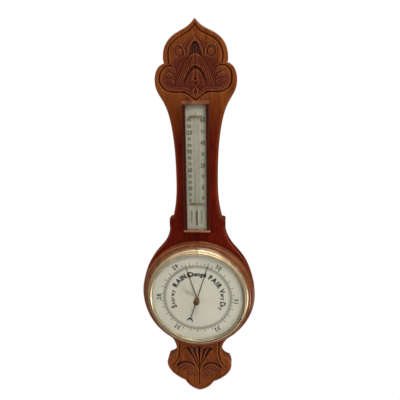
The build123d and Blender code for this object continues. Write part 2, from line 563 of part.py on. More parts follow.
def make_link_and_bar():
    eye_top, eye_low = LEVER_Z + LEVER_T / 2, BAR_Z
    link = block(LINK_X - 0.6, LINK_X + 0.6, 2.0, 2.8, eye_low, eye_top)
    for z in (eye_top, eye_low):
        link += rod_along_y(1.6, LINK_X, z, 2.0, 2.8)
    for z in (eye_top, eye_low):
        link -= rod_along_y(LINK_PIN_R + 0.25, LINK_X, z, 1, 4)
    bar = rod_along_y(1.5, BAR_X, BAR_Z, -16.9, 16.9) + rod_along_y(PIVOT_R, BAR_X, BAR_Z, -20, 20)
    bar += block(BAR_X, LINK_X, 3.2, 4.4, BAR_Z - 1, BAR_Z + 1)
    bar += rod_along_y(1.4, LINK_X, BAR_Z, 3.2, 4.4)
    bar += rod_along_y(LINK_PIN_R, LINK_X, BAR_Z, 1.7, 3.6)
    bar += block(BAR_X - 1, BAR_X + 1, 4.8, 6.0, BAR_Z, CHAIN_Z)
    bar += rod_along_y(1.4, BAR_X, CHAIN_Z, 4.8, 6.0)
    bar += rod_along_y(0.5, BAR_X, CHAIN_Z, 0.9, 5.2)
    bearings, screws = [], []
    foot_top, foot_screw_y = BASE_TOP + 1.4, 22.7
    for side in (-1, 1):
        y0, y1 = sorted((side * 17.2, side * 20.2))
        foot = sorted((side * 17.2, side * 25.0))
        cock = block(BAR_X - 2.5, BAR_X + 2.5, y0, y1, BASE_TOP, BAR_Z)
        cock += rod_along_y(2.5, BAR_X, BAR_Z, y0, y1)
        cock += block(BAR_X - 2.5, BAR_X + 2.5, *foot, BASE_TOP, foot_top)
        cock -= rod_along_y(PIVOT_R + RUNNING, BAR_X, BAR_Z, y0 - 1, y1 + 1)
        cock -= disc(SMALL_SCREW_R + EASY, BASE_TOP - 1, BASE_TOP + 3, BAR_X, side * foot_screw_y)
        bearings.append(cock)
        screws.append(round_head_screw(BAR_X, side * foot_screw_y, foot_top, 1.8, 0.9,
                                       SMALL_SCREW_R, 1.4))
    return {"link_rod": link, "rocking_bar": bar, "bar_bearings": group(bearings),
            "bearing_screws": group(screws), "chain": make_chain()}


def make_chain():
    """A fine flat chain from the rocking bar's hook to the drum, with a little to spare past it."""
    pitch, spare = 2.0, 4.4
    chain = block(-spare, BAR_X - 1.4, CHAIN_Y - 0.2, CHAIN_Y + 0.2, CHAIN_Z - 0.25, CHAIN_Z + 0.25)
    for k in range(int((BAR_X + spare - 2) / pitch)):
        chain += rod_along_y(0.5, k * pitch - spare + 0.6, CHAIN_Z, CHAIN_Y - 0.22, CHAIN_Y + 0.22)
    eye = rod_along_y(1.8, BAR_X, CHAIN_Z, CHAIN_Y - 0.22, CHAIN_Y + 0.22)
    return chain + eye - rod_along_y(1.2, BAR_X, CHAIN_Z, 0, 4)


PILLAR_Y, PILLAR_R, PILLAR_SCREW_R = 38.0, 3.0, 1.2
COCK_FOOT_Y = 12.5


def make_arbor_frame():
    bridge_top = BRIDGE_Z + 1.5
    hole = disc(ARBOR_R + RUNNING, 0, 20)
    ends = Pos(0, PILLAR_Y) * Circle(4.5) + Pos(0, -PILLAR_Y) * Circle(4.5)
    bridge = slab(Rectangle(8, 2 * PILLAR_Y) + ends, BRIDGE_Z, bridge_top) - hole
    cock = block(-3, 3, -10, 10, COCK_Z, COCK_Z + 1.2)
    pillars, screws = [], []
    for side in (-1, 1):
        leg = sorted((side * 8.6, side * 10))
        foot = sorted((side * 8.6, side * 15))
        cock += block(-3, 3, *leg, bridge_top, COCK_Z + 1.2)
        cock += block(-3, 3, *foot, bridge_top, bridge_top + 1.2)
        cock -= disc(SMALL_SCREW_R + EASY, bridge_top - 1, bridge_top + 3, 0, side * COCK_FOOT_Y)
        bridge -= disc(SMALL_SCREW_R + EASY, BRIDGE_Z - 1, bridge_top + 1, 0, side * COCK_FOOT_Y)
        bridge -= disc(PILLAR_SCREW_R + EASY, BRIDGE_Z - 1, bridge_top + 1, 0, side * PILLAR_Y)
        pillar = disc(PILLAR_R, BASE_TOP, BRIDGE_Z, 0, side * PILLAR_Y)
        pillars.append(pillar - disc(PILLAR_SCREW_R + EASY, 0, BRIDGE_Z + 1, 0, side * PILLAR_Y))
        screws.append(round_head_screw(0, side * PILLAR_Y, bridge_top, 2.4, 1.2, PILLAR_SCREW_R, 7))
        cock_foot_top = bridge_top + 1.2
        screws.append(round_head_screw(0, side * COCK_FOOT_Y, cock_foot_top, 1.8, 0.9,
                                       SMALL_SCREW_R, 2.6))
    return {"arbor_bridge": bridge, "arbor_cock": cock - hole, "pillars": group(pillars),
            "bridge_screws": group(screws)}


SPIRAL_START, SPIRAL_STEP, SPIRAL_HALVES = 2.4, 0.45, 10
HAIR_Z = (15.0, 15.5)


def make_arbor():
    arbor = disc(ARBOR_R, BRIDGE_Z + 0.1, ARBOR_TOP)
    drum = disc(DRUM_R, CHAIN_Z - 1.2, CHAIN_Z + 1.2)
    for z in (CHAIN_Z - 1.4, CHAIN_Z + 1.2):
        drum += disc(2.4, z, z + 0.3)
    drum -= disc(ARBOR_R, 0, 20)
    collet = ring(2.1, ARBOR_R, 14.7, 15.8)
    spiral = None
    for k in range(SPIRAL_HALVES):
        radius = SPIRAL_START + k * SPIRAL_STEP
        side = 1 if k % 2 == 0 else -1
        half = ring(radius + 0.1, radius - 0.1, *HAIR_Z) & block(-20, 20, *sorted((0, side * 20)), 10, 20)
        half = Pos(SPIRAL_STEP * (k % 2), 0, 0) * half
        spiral = half if spiral is None else spiral + half
    stud_y = SPIRAL_START + SPIRAL_HALVES * SPIRAL_STEP + 0.85
    stud = disc(0.7, COCK_Z + 1.2, 16.0, 0, stud_y)
    return {"hand_arbor": arbor, "chain_drum": drum, "hairspring_collet": collet,
            "hairspring": Rot(0, 0, 90) * spiral, "hairspring_stud": stud}


# ---- Assembly ----
WALL_FRAME = Plane(origin=(0, -BOARD_T, -DIAL_DROP), x_dir=(1, 0, 0), z_dir=(0, -1, 0))


def hang(piece):
    """Stands a bench piece up in the part's own frame."""
    return WALL_FRAME.location * piece


def main():
    os.makedirs("parts", exist_ok=True)
    makers = (make_case, make_surround, make_thermometer, make_movement_case, make_dial, make_bezel,
              make_set_hand, make_pressure_hand, make_base, make_capsule, make_spring, make_link_and_bar,
              make_arbor_frame, make_arbor)
    for make in makers:
        for name, piece in make().items():
            export_step(hang(piece), "parts/" + name + ".step")


main()
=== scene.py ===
import json
import math

import bmesh
import bpy
import numpy as np
from mathutils import Matrix, Vector
from mathutils.kdtree import KDTree


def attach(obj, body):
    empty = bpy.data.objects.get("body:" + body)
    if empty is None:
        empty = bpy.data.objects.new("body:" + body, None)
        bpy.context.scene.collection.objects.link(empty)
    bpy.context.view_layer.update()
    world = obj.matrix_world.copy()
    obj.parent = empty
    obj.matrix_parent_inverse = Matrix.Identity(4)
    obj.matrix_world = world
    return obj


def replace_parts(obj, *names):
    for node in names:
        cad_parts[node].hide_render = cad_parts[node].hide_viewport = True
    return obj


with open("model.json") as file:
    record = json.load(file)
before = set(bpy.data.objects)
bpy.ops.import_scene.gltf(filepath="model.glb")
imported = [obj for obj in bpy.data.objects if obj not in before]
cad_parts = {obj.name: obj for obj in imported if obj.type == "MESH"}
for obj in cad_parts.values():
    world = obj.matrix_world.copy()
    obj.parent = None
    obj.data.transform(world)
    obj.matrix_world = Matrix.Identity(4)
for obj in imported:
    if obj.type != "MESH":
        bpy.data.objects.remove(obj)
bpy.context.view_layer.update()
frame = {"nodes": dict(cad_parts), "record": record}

# The bench frame, in millimetres: x to the right, y towards the crest, z out of the board's front
# face, with the dial's centre as its origin. wall() turns it into the row frame in metres.
DIAL_DROP = 515.0           # the dial's centre below the hanging hole
BOARD_T = 22.0
BODY_R = 123.8              # the board's round body
BODY_START, BODY_STOP = 14.0, -52.0
EDGE_ROLL = 3.2             # the board's rounded front edge
NECK_TOP = (54.5, 383.7)
CREST_TIP, BASE_TIP = 567.0, -243.5

# The turned ring, the bezel and the glass
CASE_HOLE_R = 99.2
SURROUND_R = 122.4
LEDGE_Z = 9.0
SEAT_Z = 15.0
SEAT_R = 106.7
FOOT_R = 110.3
SIGHT_R = 99.6
GLASS_Z = 22.0
GLASS_T = 2.6
BEVEL_R = 93.0
BUSH_R = 3.1

# The dial
DIAL_R = 103.9
DIAL_Z = 18.0
DIAL_T = 1.5
ARBOR_HOLE_R = 1.7
PRINT_RISES = (0.03, 0.04)  # the fine and the bold printing above their plate
SCALE_LINES = ((67.6, 68.2), (69.9, 70.7))
TICK_FOOT = 70.2
TICK_DEGREES = 1.2
TICKS = ((75.4, 0.85), (77.6, 1.0), (79.4, 1.2))    # small, half and full: top radius and width
TICK_DOT_R, TICK_DOT = 79.6, 1.4
NUMBER_R, NUMBER_SIZE, NUMBER_SPAN = 84.4, 12.0, 9.8
DIAL_NUMBERS = (("30", 33), ("31", 93), ("32", 149), ("27", 213), ("28", 270), ("29", 326))
# text, sizes, radius, centre and span in degrees, boldness, squeeze
DIAL_WORDS = (
    ("Stormy", (16.5,) + (11.5,) * 5, 55.0, 266, 47, 0.044, 0.86),
    ("RAIN", (14.5,) * 4, 56.0, 315.5, 38, 0.070, 0.88),
    ("Change", (15.5,) + (13.0,) * 5, 55.5, -1, 43, 0.060, 0.9),
    ("FAIR", (14.5,) * 4, 56.0, 45.5, 38, 0.070, 0.88),
    ("Very Dry", (16.0, 11.5, 11.5, 11.5, 9.0, 16.0, 11.5, 11.5), 55.0, 93, 53, 0.048, 0.86),
)

# The thermometer's box, plate and scales
BOX_LOW, BOX_HIGH = 150.0, 406.0
BOX_IN, BOX_OUT = 21.0, 27.0
RAIL_H = 10.0
END_RAIL_PAST = 0.6         # how far an end rail reaches past the side rails
GROOVE_LOW, GROOVE_HIGH, GROOVE_DEPTH = 7.25, 9.55, 1.5
PLATE_T = 2.0
PLATE_GAP = 0.2
TEN_DEGREES_Y = 212.5
DEGREE_PITCH = 1.265
BULB_TOP = (190.0 - DIAL_DROP) / 1000
BORDER_X = 19.6

# The hanger plate's pocket, drawn about the hanging hole
POCKET_R, POCKET_REACH, POCKET_DEPTH = 9.15, 17.15, 2.0
HANGER_BORES = ((0, 8.0, -10.0), (-18, 1.65, -9.6), (18, 1.65, -9.6))   # x, radius, end's height

# The set hand's knob
KNOB_BASE, KNOB_LOW, KNOB_HIGH, KNOB_TOP, KNOB_R = 26.6, 33.5, 42.0, 43.5, 6.4

# Camera and lights, in metres of the row frame
CAMERA_PLACE = (0.08407, -0.81221, -0.12653)
CAMERA_YAW, CAMERA_PITCH, CAMERA_ROLL = 0.098, 0.218, -0.012
CAMERA_LENS, CAMERA_SENSOR = 35.07, 36.0
LIGHTS = (
    ("key", (0.45, -1.0, 1.2), (0, 0, -0.4), (1.0, 0.6), 16.0),
    ("left_fill", (-1.7, -1.0, 0.1), (0, 0, -0.4), (0.5, 1.6), 2.5),
    ("low_fill", (0.95, -0.9, -1.15), (0, 0, -0.6), (0.6, 0.4), 5.0),
    ("right_edge", (1.5, -0.3, 0.3), (0, 0, -0.4), (0.3, 1.4), 3.0),
)
ROOM_STRENGTH = 0.70
SHINE_LEAST = 0.03
FLOOR_Z, FLOOR_REACH = -1.3, 6.0
FLOOR_FADE = (0.3, 0.6)


def wall(points):
    """Bench millimetres to the row frame in metres."""
    p = np.asarray(points, float)
    return np.stack([p[:, 0], -(BOARD_T + p[:, 2]), p[:, 1] - DIAL_DROP], axis=1) / 1000


def placed(name, data):
    """A new object in the scene."""
    obj = bpy.data.objects.new(name, data)
    bpy.context.scene.collection.objects.link(obj)
    return obj


def circle(r, count, x=0.0, y=0.0):
    """Points round a circle."""
    turns = np.linspace(0, 2 * math.pi, count, endpoint=False)
    return [(x + r * math.cos(a), y + r * math.sin(a)) for a in turns]


# ---- Node trees ----
class Nodes:
    """Short calls that add nodes to a tree and wire them."""

    def __init__(self, tree):
        self.tree = tree

    def add(self, kind, **props):
        node = self.tree.nodes.new(kind)
        for key, value in props.items():
            setattr(node, key, value)
        return node

    def join(self, out, into):
        self.tree.links.new(out, into)

    def split(self, out):
        node = self.add("ShaderNodeSeparateXYZ")
        self.join(out, node.inputs[0])
        return node.outputs

    def ranged(self, out, low, high, to_low=0.0, to_high=1.0):
        node = self.add("ShaderNodeMapRange")
        for socket, value in zip(("From Min", "From Max", "To Min", "To Max"), (low, high, to_low, to_high)):
            node.inputs[socket].default_value = value
        self.join(out, node.inputs["Value"])
        return node.outputs[0]

    def larger(self, a, b):
        node = self.add("ShaderNodeMath", operation="MAXIMUM")
        self.join(a, node.inputs[0])
        self.join(b, node.inputs[1])
        return node.outputs[0]

    def shown(self, factor, first, second, output="Material Output"):
        """Shows a shader that goes from first to second as factor goes from 0 to 1."""
        node = self.add("ShaderNodeMixShader")
        for out, into in zip((factor, first, second), node.inputs):
            self.join(out, into)
        self.join(node.outputs[0], self.tree.nodes[output].inputs["Surface"])
        return node.outputs[0]


# ---- Camera, stage and light ----
def look(yaw, pitch, roll):
    """The camera's rotation: yaw to the right, pitch downwards and roll, in radians."""
    forward = Vector((-math.sin(yaw) * math.cos(pitch), math.cos(yaw) * math.cos(pitch), -math.sin(pitch)))
    right = Vector((math.cos(yaw), math.sin(yaw), 0))
    up = right.cross(forward)
    side = right * math.cos(roll) + up * math.sin(roll)
    top = up * math.cos(roll) - right * math.sin(roll)
    return Matrix((side, top, -forward)).transposed().to_4x4()


def make_camera():
    data = bpy.data.cameras.new("camera")
    data.lens = CAMERA_LENS
    data.sensor_width = CAMERA_SENSOR
    camera = placed("camera", data)
    camera.matrix_world = Matrix.Translation(CAMERA_PLACE) @ look(CAMERA_YAW, CAMERA_PITCH, CAMERA_ROLL)
    bpy.context.scene.camera = camera


def area_light(name, place, target, size, power):
    data = bpy.data.lights.new(name, "AREA")
    data.shape = "RECTANGLE"
    data.size, data.size_y = size
    data.energy = power
    turn = (Vector(target) - Vector(place)).to_track_quat("-Z", "Y").to_matrix().to_4x4()
    placed(name, data).matrix_world = Matrix.Translation(place) @ turn


def make_world():
    """A plain room: what lights the object, what polish mirrors, and the white that is seen."""
    world = bpy.data.worlds.new("studio")
    bpy.context.scene.world = world
    world.use_nodes = True
    room = Nodes(world.node_tree)

    def ground(colour, strength):
        node = room.add("ShaderNodeBackground")
        node.inputs["Color"].default_value = (*colour, 1)
        node.inputs["Strength"].default_value = strength
        return node

    # what polished surfaces mirror: a dark room in front, bright towards the ceiling and the sides
    way = room.split(room.add("ShaderNodeTexCoord").outputs["Generated"])
    aside = room.add("ShaderNodeMath", operation="ABSOLUTE")
    room.join(way["X"], aside.inputs[0])
    above = room.ranged(way["Z"], 0.35, 0.85, SHINE_LEAST, 1.5)
    beside = room.ranged(aside.outputs[0], 0.5, 0.95, SHINE_LEAST, 0.4)
    below = room.ranged(way["Z"], -0.6, -0.9, SHINE_LEAST, 0.8)
    shine = ground((1, 0.97, 0.93), 1.0)
    room.join(room.larger(room.larger(above, beside), below), shine.inputs["Strength"])
    rays = room.add("ShaderNodeLightPath").outputs
    walls = ground((1, 0.98, 0.95), ROOM_STRENGTH)
    lit = room.shown(rays["Is Glossy Ray"], walls.outputs[0], shine.outputs[0], "World Output")
    room.shown(rays["Is Camera Ray"], lit, ground((1, 1, 1), 1.0).outputs[0], "World Output")
    bpy.context.scene.view_settings.view_transform = "Standard"


def make_floor():
    """A pale floor that fades into the white of the room."""
    mesh = bpy.data.meshes.new("floor")
    corners = [(x * FLOOR_REACH, y * FLOOR_REACH, FLOOR_Z) for x, y in ((-1, -1), (1, -1), (1, 1), (-1, 1))]
    mesh.from_pydata(corners, [], [(0, 1, 2, 3)])
    floor = placed("floor", mesh)
    shade = Shade("pale_floor", (0.93, 0.93, 0.93), 0.9)
    shade.colour(shade.mixed(shade.noise(3.0), (0.91, 0.91, 0.91), (0.95, 0.95, 0.95)))
    radius = shade.add("ShaderNodeVectorMath", operation="LENGTH")
    shade.join(shade.stretched((1, 1, 0)), radius.inputs[0])
    far = shade.ranged(radius.outputs["Value"], *FLOOR_FADE)
    shade.shown(far, shade.shader.outputs[0], shade.add("ShaderNodeBsdfTransparent").outputs[0])
    mesh.materials.append(shade.mat)


# ---- Materials ----
class Shade(Nodes):
    """A node material with a Principled shader, and calls that wire detail into it."""

    def __init__(self, name, colour, roughness, metallic=0.0, **sockets):
        self.mat = bpy.data.materials.new(name)
        self.mat.use_nodes = True
        super().__init__(self.mat.node_tree)
        self.shader = self.tree.nodes["Principled BSDF"]
        sockets.update({"Base Color": (*colour, 1), "Roughness": roughness, "Metallic": metallic})
        for socket, value in sockets.items():
            self.shader.inputs[socket.replace("_", " ")].default_value = value
        self.where = self.add("ShaderNodeTexCoord").outputs["Object"]

    def stretched(self, scale):
        node = self.add("ShaderNodeMapping")
        node.inputs["Scale"].default_value = scale
        self.join(self.where, node.inputs["Vector"])
        return node.outputs[0]

    def noise(self, scale, detail=4.0, rough=0.55, stretch=None, twist=0.0):
        node = self.add("ShaderNodeTexNoise")
        sockets = ("Scale", "Detail", "Roughness", "Distortion")
        for socket, value in zip(sockets, (scale, detail, rough, twist)):
            node.inputs[socket].default_value = value
        self.join(self.stretched(stretch) if stretch else self.where, node.inputs["Vector"])
        return node.outputs[0]

    def mixed(self, factor, a, b, kind="MIX"):
        """A colour between a and b; each may be a colour or another node's output."""
        node = self.add("ShaderNodeMix", data_type="RGBA", blend_type=kind)
        self.join(factor, node.inputs[0])
        for socket, value in ((node.inputs[6], a), (node.inputs[7], b)):
            if isinstance(value, tuple):
                socket.default_value = (*value, 1)
            else:
                self.join(value, socket)
        return node.outputs[2]

    def colour(self, out):
        self.join(out, self.shader.inputs["Base Color"])

    def rough(self, out, low, high):
        self.join(self.ranged(out, 0.3, 0.7, low, high), self.shader.inputs["Roughness"])

    def bump(self, out, strength, distance=0.0003):
        node = self.add("ShaderNodeBump")
        node.inputs["Strength"].default_value = strength
        node.inputs["Distance"].default_value = distance
        self.join(out, node.inputs["Height"])
        self.join(node.outputs[0], self.shader.inputs["Normal"])

    def clear_to_lamps(self):
        """Lets lamp light through, so that glass doesn't darken what is behind it."""
        shadow = self.add("ShaderNodeLightPath").outputs["Is Shadow Ray"]
        self.shown(shadow, self.shader.outputs[0], self.add("ShaderNodeBsdfTransparent").outputs[0])


# the heights, in metres, between which the board's colour turns to its red trunk and back
TRUNK_TOP, TRUNK_FOOT = (-0.19, -0.09), (-0.60, -0.64)
# the darkened carving's colour: a darker finish together with painted shade
STAIN_AND_SHADE_COLOUR = (0.078, 0.0075, 0.0025)
# painted shade for the carving's hollows
HOLLOW_SHADE_COLOUR = (0.018, 0.0025, 0.001)


def wood(name, light, dark, trunk=None, polish=0.22, gloss=0.13):
    """Stained oak with its grain up the board: bands and pores, the carving darkened by a darker finish
    together with painted shade, painted shade in the hollows, and painted highlight, together with rubbing,
    on ridges and edges.
    """
    s = Shade(name, light, polish, Coat_Weight=0.04, Coat_Roughness=0.14, Specular_IOR_Level=gloss)
    bands = s.noise(1.0, 5.0, 0.6, (60, 60, 5), 0.6)
    fine = s.noise(1.0, 3.0, 0.7, (420, 420, 14))
    pores = s.noise(1.0, 2.0, 0.5, (1500, 1500, 45))
    base = s.mixed(s.ranged(bands, 0.3, 0.7), light, dark)
    if trunk:
        height = s.split(s.where)["Z"]
        ends = s.larger(s.ranged(height, *TRUNK_TOP), s.ranged(height, *TRUNK_FOOT))
        red = s.mixed(s.ranged(s.noise(9.0, 2.0), 0.35, 0.65), trunk, tuple(0.62 * c for c in trunk))
        base = s.mixed(ends, red, base)
    base = s.mixed(s.ranged(fine, 0.42, 0.62, 0.0, 0.75), base, (0.50, 0.40, 0.34), "MULTIPLY")
    base = s.mixed(s.ranged(pores, 0.55, 0.68, 0.0, 0.75), base, (0.34, 0.24, 0.20), "MULTIPLY")
    layers = {name: s.add("ShaderNodeAttribute", attribute_name=name).outputs["Fac"]
              for name in ("stain", "hollow", "worn", "raw")}
    # the carving darkened: a darker finish together with painted shade
    base = s.mixed(layers["stain"], base, STAIN_AND_SHADE_COLOUR)
    # painted shade in the hollows
    base = s.mixed(layers["hollow"], base, HOLLOW_SHADE_COLOUR)
    # painted highlight, together with rubbing, on ridges and edges
    base = s.mixed(layers["worn"], base, tuple(min(1.0, 1.7 * c) for c in light))
    s.colour(base)
    # polished in front, duller in the dark carving, and hardly polished on the sides and back
    dull = s.larger(s.ranged(layers["stain"], 0.0, 0.8, polish, 0.5), s.ranged(layers["raw"], 0, 1, 0, 0.62))
    s.join(dull, s.shader.inputs["Roughness"])
    s.bump(fine, 0.2, 0.0002)
    return s.mat


def brass(name, light, dark, rough):
    """Old lacquered brass: drawn marks, patches where it has dulled, dark spots."""
    s = Shade(name, light, rough, 1.0)
    patches = s.noise(34.0, 5.0, 0.6)
    spots = s.noise(240.0, 3.0, 0.6)
    base = s.mixed(s.ranged(patches, 0.38, 0.66), light, dark)
    s.colour(s.mixed(s.ranged(spots, 0.6, 0.74, 0.0, 0.6), base, tuple(0.35 * c for c in dark)))
    s.rough(patches, rough * 0.8, rough * 1.7)
    s.bump(s.noise(900.0, 2.0), 0.05, 0.0001)
    return s.mat


def metal(name, light, dark, rough=0.3, metallic=1.0):
    """Ground or bright metal with faint blotches and fine scratches."""
    s = Shade(name, light, rough, metallic)
    s.colour(s.mixed(s.ranged(s.noise(120.0, 4.0), 0.35, 0.7), light, dark))
    s.rough(s.noise(60.0, 3.0), rough * 0.8, rough * 1.5)
    s.bump(s.noise(1.0, 2.0, 0.5, (1400, 200, 1400)), 0.06, 0.0001)
    return s.mat


def mercury(name, bulb, thread):
    """Dark and cloudy in the bulb; the thread is painted pale, a painted reflection of the pale scale behind
    it.
    """
    s = Shade(name, bulb, 0.3, 0.4)
    cloudy = s.mixed(s.ranged(s.noise(400.0, 3.0), 0.35, 0.7), bulb, tuple(0.5 * c for c in bulb))
    in_stem = s.ranged(s.split(s.where)["Z"], BULB_TOP - 0.001, BULB_TOP + 0.004)
    s.colour(s.mixed(in_stem, cloudy, thread))
    s.rough(s.noise(90.0), 0.25, 0.4)
    return s.mat


def enamel(name, light, dark, rough=0.35, coat=0.3):
    """Painted or opal sheet with a faint yellowing and tiny specks."""
    s = Shade(name, light, rough, Coat_Weight=coat, Coat_Roughness=0.15)
    aged = s.mixed(s.ranged(s.noise(14.0, 4.0, 0.6), 0.35, 0.68), light, dark)
    specks = s.ranged(s.noise(700.0, 2.0), 0.66, 0.76, 0.0, 0.25)
    s.colour(s.mixed(specks, aged, tuple(0.5 * c for c in dark)))
    s.rough(s.noise(40.0), rough * 0.85, rough * 1.3)
    s.bump(s.noise(160.0, 3.0), 0.04, 0.0002)
    return s.mat


def printing(name, ink):
    """Flat ink, worn a little thin in places."""
    s = Shade(name, ink, 0.5)
    s.colour(s.mixed(s.ranged(s.noise(500.0, 3.0), 0.4, 0.75), ink, tuple(1.8 * c + 0.02 for c in ink)))
    return s.mat


def glass(name, tint, rough=0.02):
    """Clear glass with faint smears."""
    s = Shade(name, tint, rough, IOR=1.45, Transmission_Weight=1.0)
    smears = s.noise(22.0, 4.0, 0.65)
    s.rough(smears, rough, rough * 3)
    s.bump(s.noise(60.0, 2.0), 0.01, 0.0001)
    s.clear_to_lamps()
    return s.mat


def make_materials():
    """Each material's maker and what it is given after its name."""
    kinds = {
        "carved_oak": (wood, (0.228, 0.061, 0.012), (0.142, 0.030, 0.0055), (0.134, 0.0085, 0.0022)),
        "turned_oak": (wood, (0.300, 0.095, 0.022), (0.160, 0.038, 0.009), None, 0.16, 0.5),
        "box_wood": (wood, (0.085, 0.010, 0.003), (0.035, 0.005, 0.002), None, 0.22, 0.2),
        "seat_wood": (wood, (0.45, 0.33, 0.20), (0.33, 0.22, 0.12), None, 0.6),
        "lacquered_brass": (brass, (0.78, 0.62, 0.40), (0.54, 0.41, 0.25), 0.3),
        "dull_brass": (brass, (0.46, 0.38, 0.25), (0.36, 0.29, 0.18), 0.5),
        "movement_brass": (brass, (0.72, 0.52, 0.25), (0.52, 0.35, 0.15), 0.32),
        "screw_brass": (brass, (0.19, 0.12, 0.05), (0.07, 0.045, 0.018), 0.42),
        "knob_brass": (brass, (0.29, 0.145, 0.068), (0.13, 0.06, 0.03), 0.42),
        "set_hand_brass": (brass, (0.20, 0.14, 0.09), (0.10, 0.07, 0.04), 0.45),
        # the scale is darker than the dial, partly as painted shade from the box it sits in
        "opal_scale": (enamel, (0.44, 0.41, 0.32), (0.36, 0.33, 0.25)),
        "dial_enamel": (enamel, (0.66, 0.625, 0.52), (0.60, 0.565, 0.46)),
        "clear_glass": (glass, (0.95, 0.97, 0.95)),
        # the thread's pale colour is a painted reflection of the scale behind it
        "liquid": (mercury, (0.10, 0.085, 0.065), (0.46, 0.45, 0.42)),
        "blued_steel": (metal, (0.035, 0.035, 0.045), (0.015, 0.015, 0.02), 0.4, 0.6),
        "movement_steel": (metal, (0.55, 0.56, 0.58), (0.38, 0.39, 0.41)),
        "capsule_metal": (metal, (0.70, 0.67, 0.60), (0.55, 0.52, 0.46), 0.22),
        "washer_leather": (enamel, (0.16, 0.09, 0.05), (0.08, 0.045, 0.025), 0.7, 0.0),
        "ink": (printing, (0.022, 0.020, 0.018)),
        "pale_ink": (printing, (0.13, 0.12, 0.105)),
    }
    return {name: maker(name, *given) for name, (maker, *given) in kinds.items()}


# ---- Mesh tools ----
def piece(name, points, faces, body, slot, smooth=38.0, ride=True):
    """A mesh object from bench points. Edges sharper than smooth degrees stay sharp."""
    mesh = bpy.data.meshes.new(name)
    mesh.from_pydata([tuple(p) for p in wall(points)], [], faces)
    bm = bmesh.new()
    bm.from_mesh(mesh)
    bmesh.ops.remove_doubles(bm, verts=bm.verts, dist=2e-6)
    bmesh.ops.recalc_face_normals(bm, faces=bm.faces)
    limit = math.radians(smooth)
    for face in bm.faces:
        face.smooth = True
    for edge in bm.edges:
        edge.smooth = len(edge.link_faces) == 2 and edge.calc_face_angle(0.0) < limit
    bm.to_mesh(mesh)
    bm.free()
    obj = placed(name, mesh)
    mesh.materials.append(MAT[slot])
    if ride:
        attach(obj, body)
    return obj


def soften(points, radius, steps=3):
    """Rounds the corners of a closed profile."""
    p = [np.array(q, float) for q in points]
    out = []
    for k, here in enumerate(p):
        before, after = p[k - 1], p[(k + 1) % len(p)]
        gap_b, gap_a = np.linalg.norm(before - here), np.linalg.norm(after - here)
        r_b, r_a = min(radius, 0.42 * gap_b), min(radius, 0.42 * gap_a)
        start = here + (before - here) * r_b / gap_b
        stop = here + (after - here) * r_a / gap_a
        for t in np.linspace(0, 1, steps):
            out.append((1 - t) ** 2 * start + 2 * t * (1 - t) * here + t * t * stop)
    return out


def bow(a, middle, b, steps):
    """Points of a shallow curve from a to b through about the middle point, without its last one."""
    a, middle, b = (np.array(q, float) for q in (a, middle, b))
    pull = 2 * middle - (a + b) / 2
    shares = np.linspace(0, 1, steps, endpoint=False)
    return [(1 - t) ** 2 * a + 2 * t * (1 - t) * pull + t * t * b for t in shares]


def lathe(name, profile, body, slot, steps=240, ribs=None, smooth=38.0):
    """A closed profile of (radius, height) turned about the dial's axis.

    ribs is their count and depth, the heights they lie between and the radius they start from.
    """
    angles = np.linspace(0, 2 * math.pi, steps, endpoint=False)
    points, faces = [], []
    for r, z in profile:
        radii = np.full(steps, float(r))
        if ribs:
            number, depth, low, high, start = ribs
            if low < z < high:
                radii -= depth * np.clip(np.cos(angles * number), -0.2, 1) * (r > start)
        points += [(q * math.sin(a), q * math.cos(a), z) for q, a in zip(radii, angles)]
    for k in range(len(profile)):
        m = (k + 1) % len(profile)
        for j in range(steps):
            n = (j + 1) % steps
            faces.append((k * steps + j, k * steps + n, m * steps + n, m * steps + j))
    return piece(name, points, faces, body, slot, smooth)


def bevelled(obj, width):
    """Rounds a piece's edges; width in millimetres."""
    mod = obj.modifiers.new("bevel", "BEVEL")
    mod.width = width / 1000
    mod.segments = 2
    mod.limit_method = "ANGLE"
    mod.angle_limit = math.radians(35.0)
    mod.harden_normals = True
    return obj


def extrusion(name, ends, slot, ride=True):
    """A solid between two like outlines, each given as bench points."""
    count = len(ends) // 2
    faces = [(k, (k + 1) % count, count + (k + 1) % count, count + k) for k in range(count)]
    faces += [tuple(range(count)), tuple(range(2 * count - 1, count - 1, -1))]
    return piece(name, ends, faces, "case", slot, ride=ride)


# ---- Outlines ----
def spline(points, start=None, end=None, step=0.8):
    """A smooth curve through the points, leaving along start and arriving along end."""
    p = np.array(points, float)
    h = np.linalg.norm(np.diff(p, axis=0), axis=1)
    slope = np.diff(p, axis=0) / h[:, None]
    n = len(p)
    a, b = np.zeros((n, n)), np.zeros((n, 2))
    for k in range(1, n - 1):
        a[k, k - 1], a[k, k], a[k, k + 1] = 1 / h[k - 1], 2 / h[k - 1] + 2 / h[k], 1 / h[k]
        b[k] = 3 * (slope[k - 1] / h[k - 1] + slope[k] / h[k])
    for k, near, given in ((0, 1, start), (n - 1, n - 2, end)):
        if given is None:
            a[k, k], a[k, near], b[k] = 2, 1, 3 * slope[min(k, near)]
        else:
            a[k, k], b[k] = 1, np.array(given, float) / np.linalg.norm(given)
    m = np.linalg.solve(a, b)
    out = []
    for k in range(n - 1):
        for t in np.linspace(0, 1, max(2, int(h[k] / step)), endpoint=False):
            out.append((2 * t ** 3 - 3 * t ** 2 + 1) * p[k] + (t ** 3 - 2 * t ** 2 + t) * h[k] * m[k]
                       + (3 * t ** 2 - 2 * t ** 3) * p[k + 1] + (t ** 3 - t ** 2) * h[k] * m[k + 1])
    return out + [p[-1]]


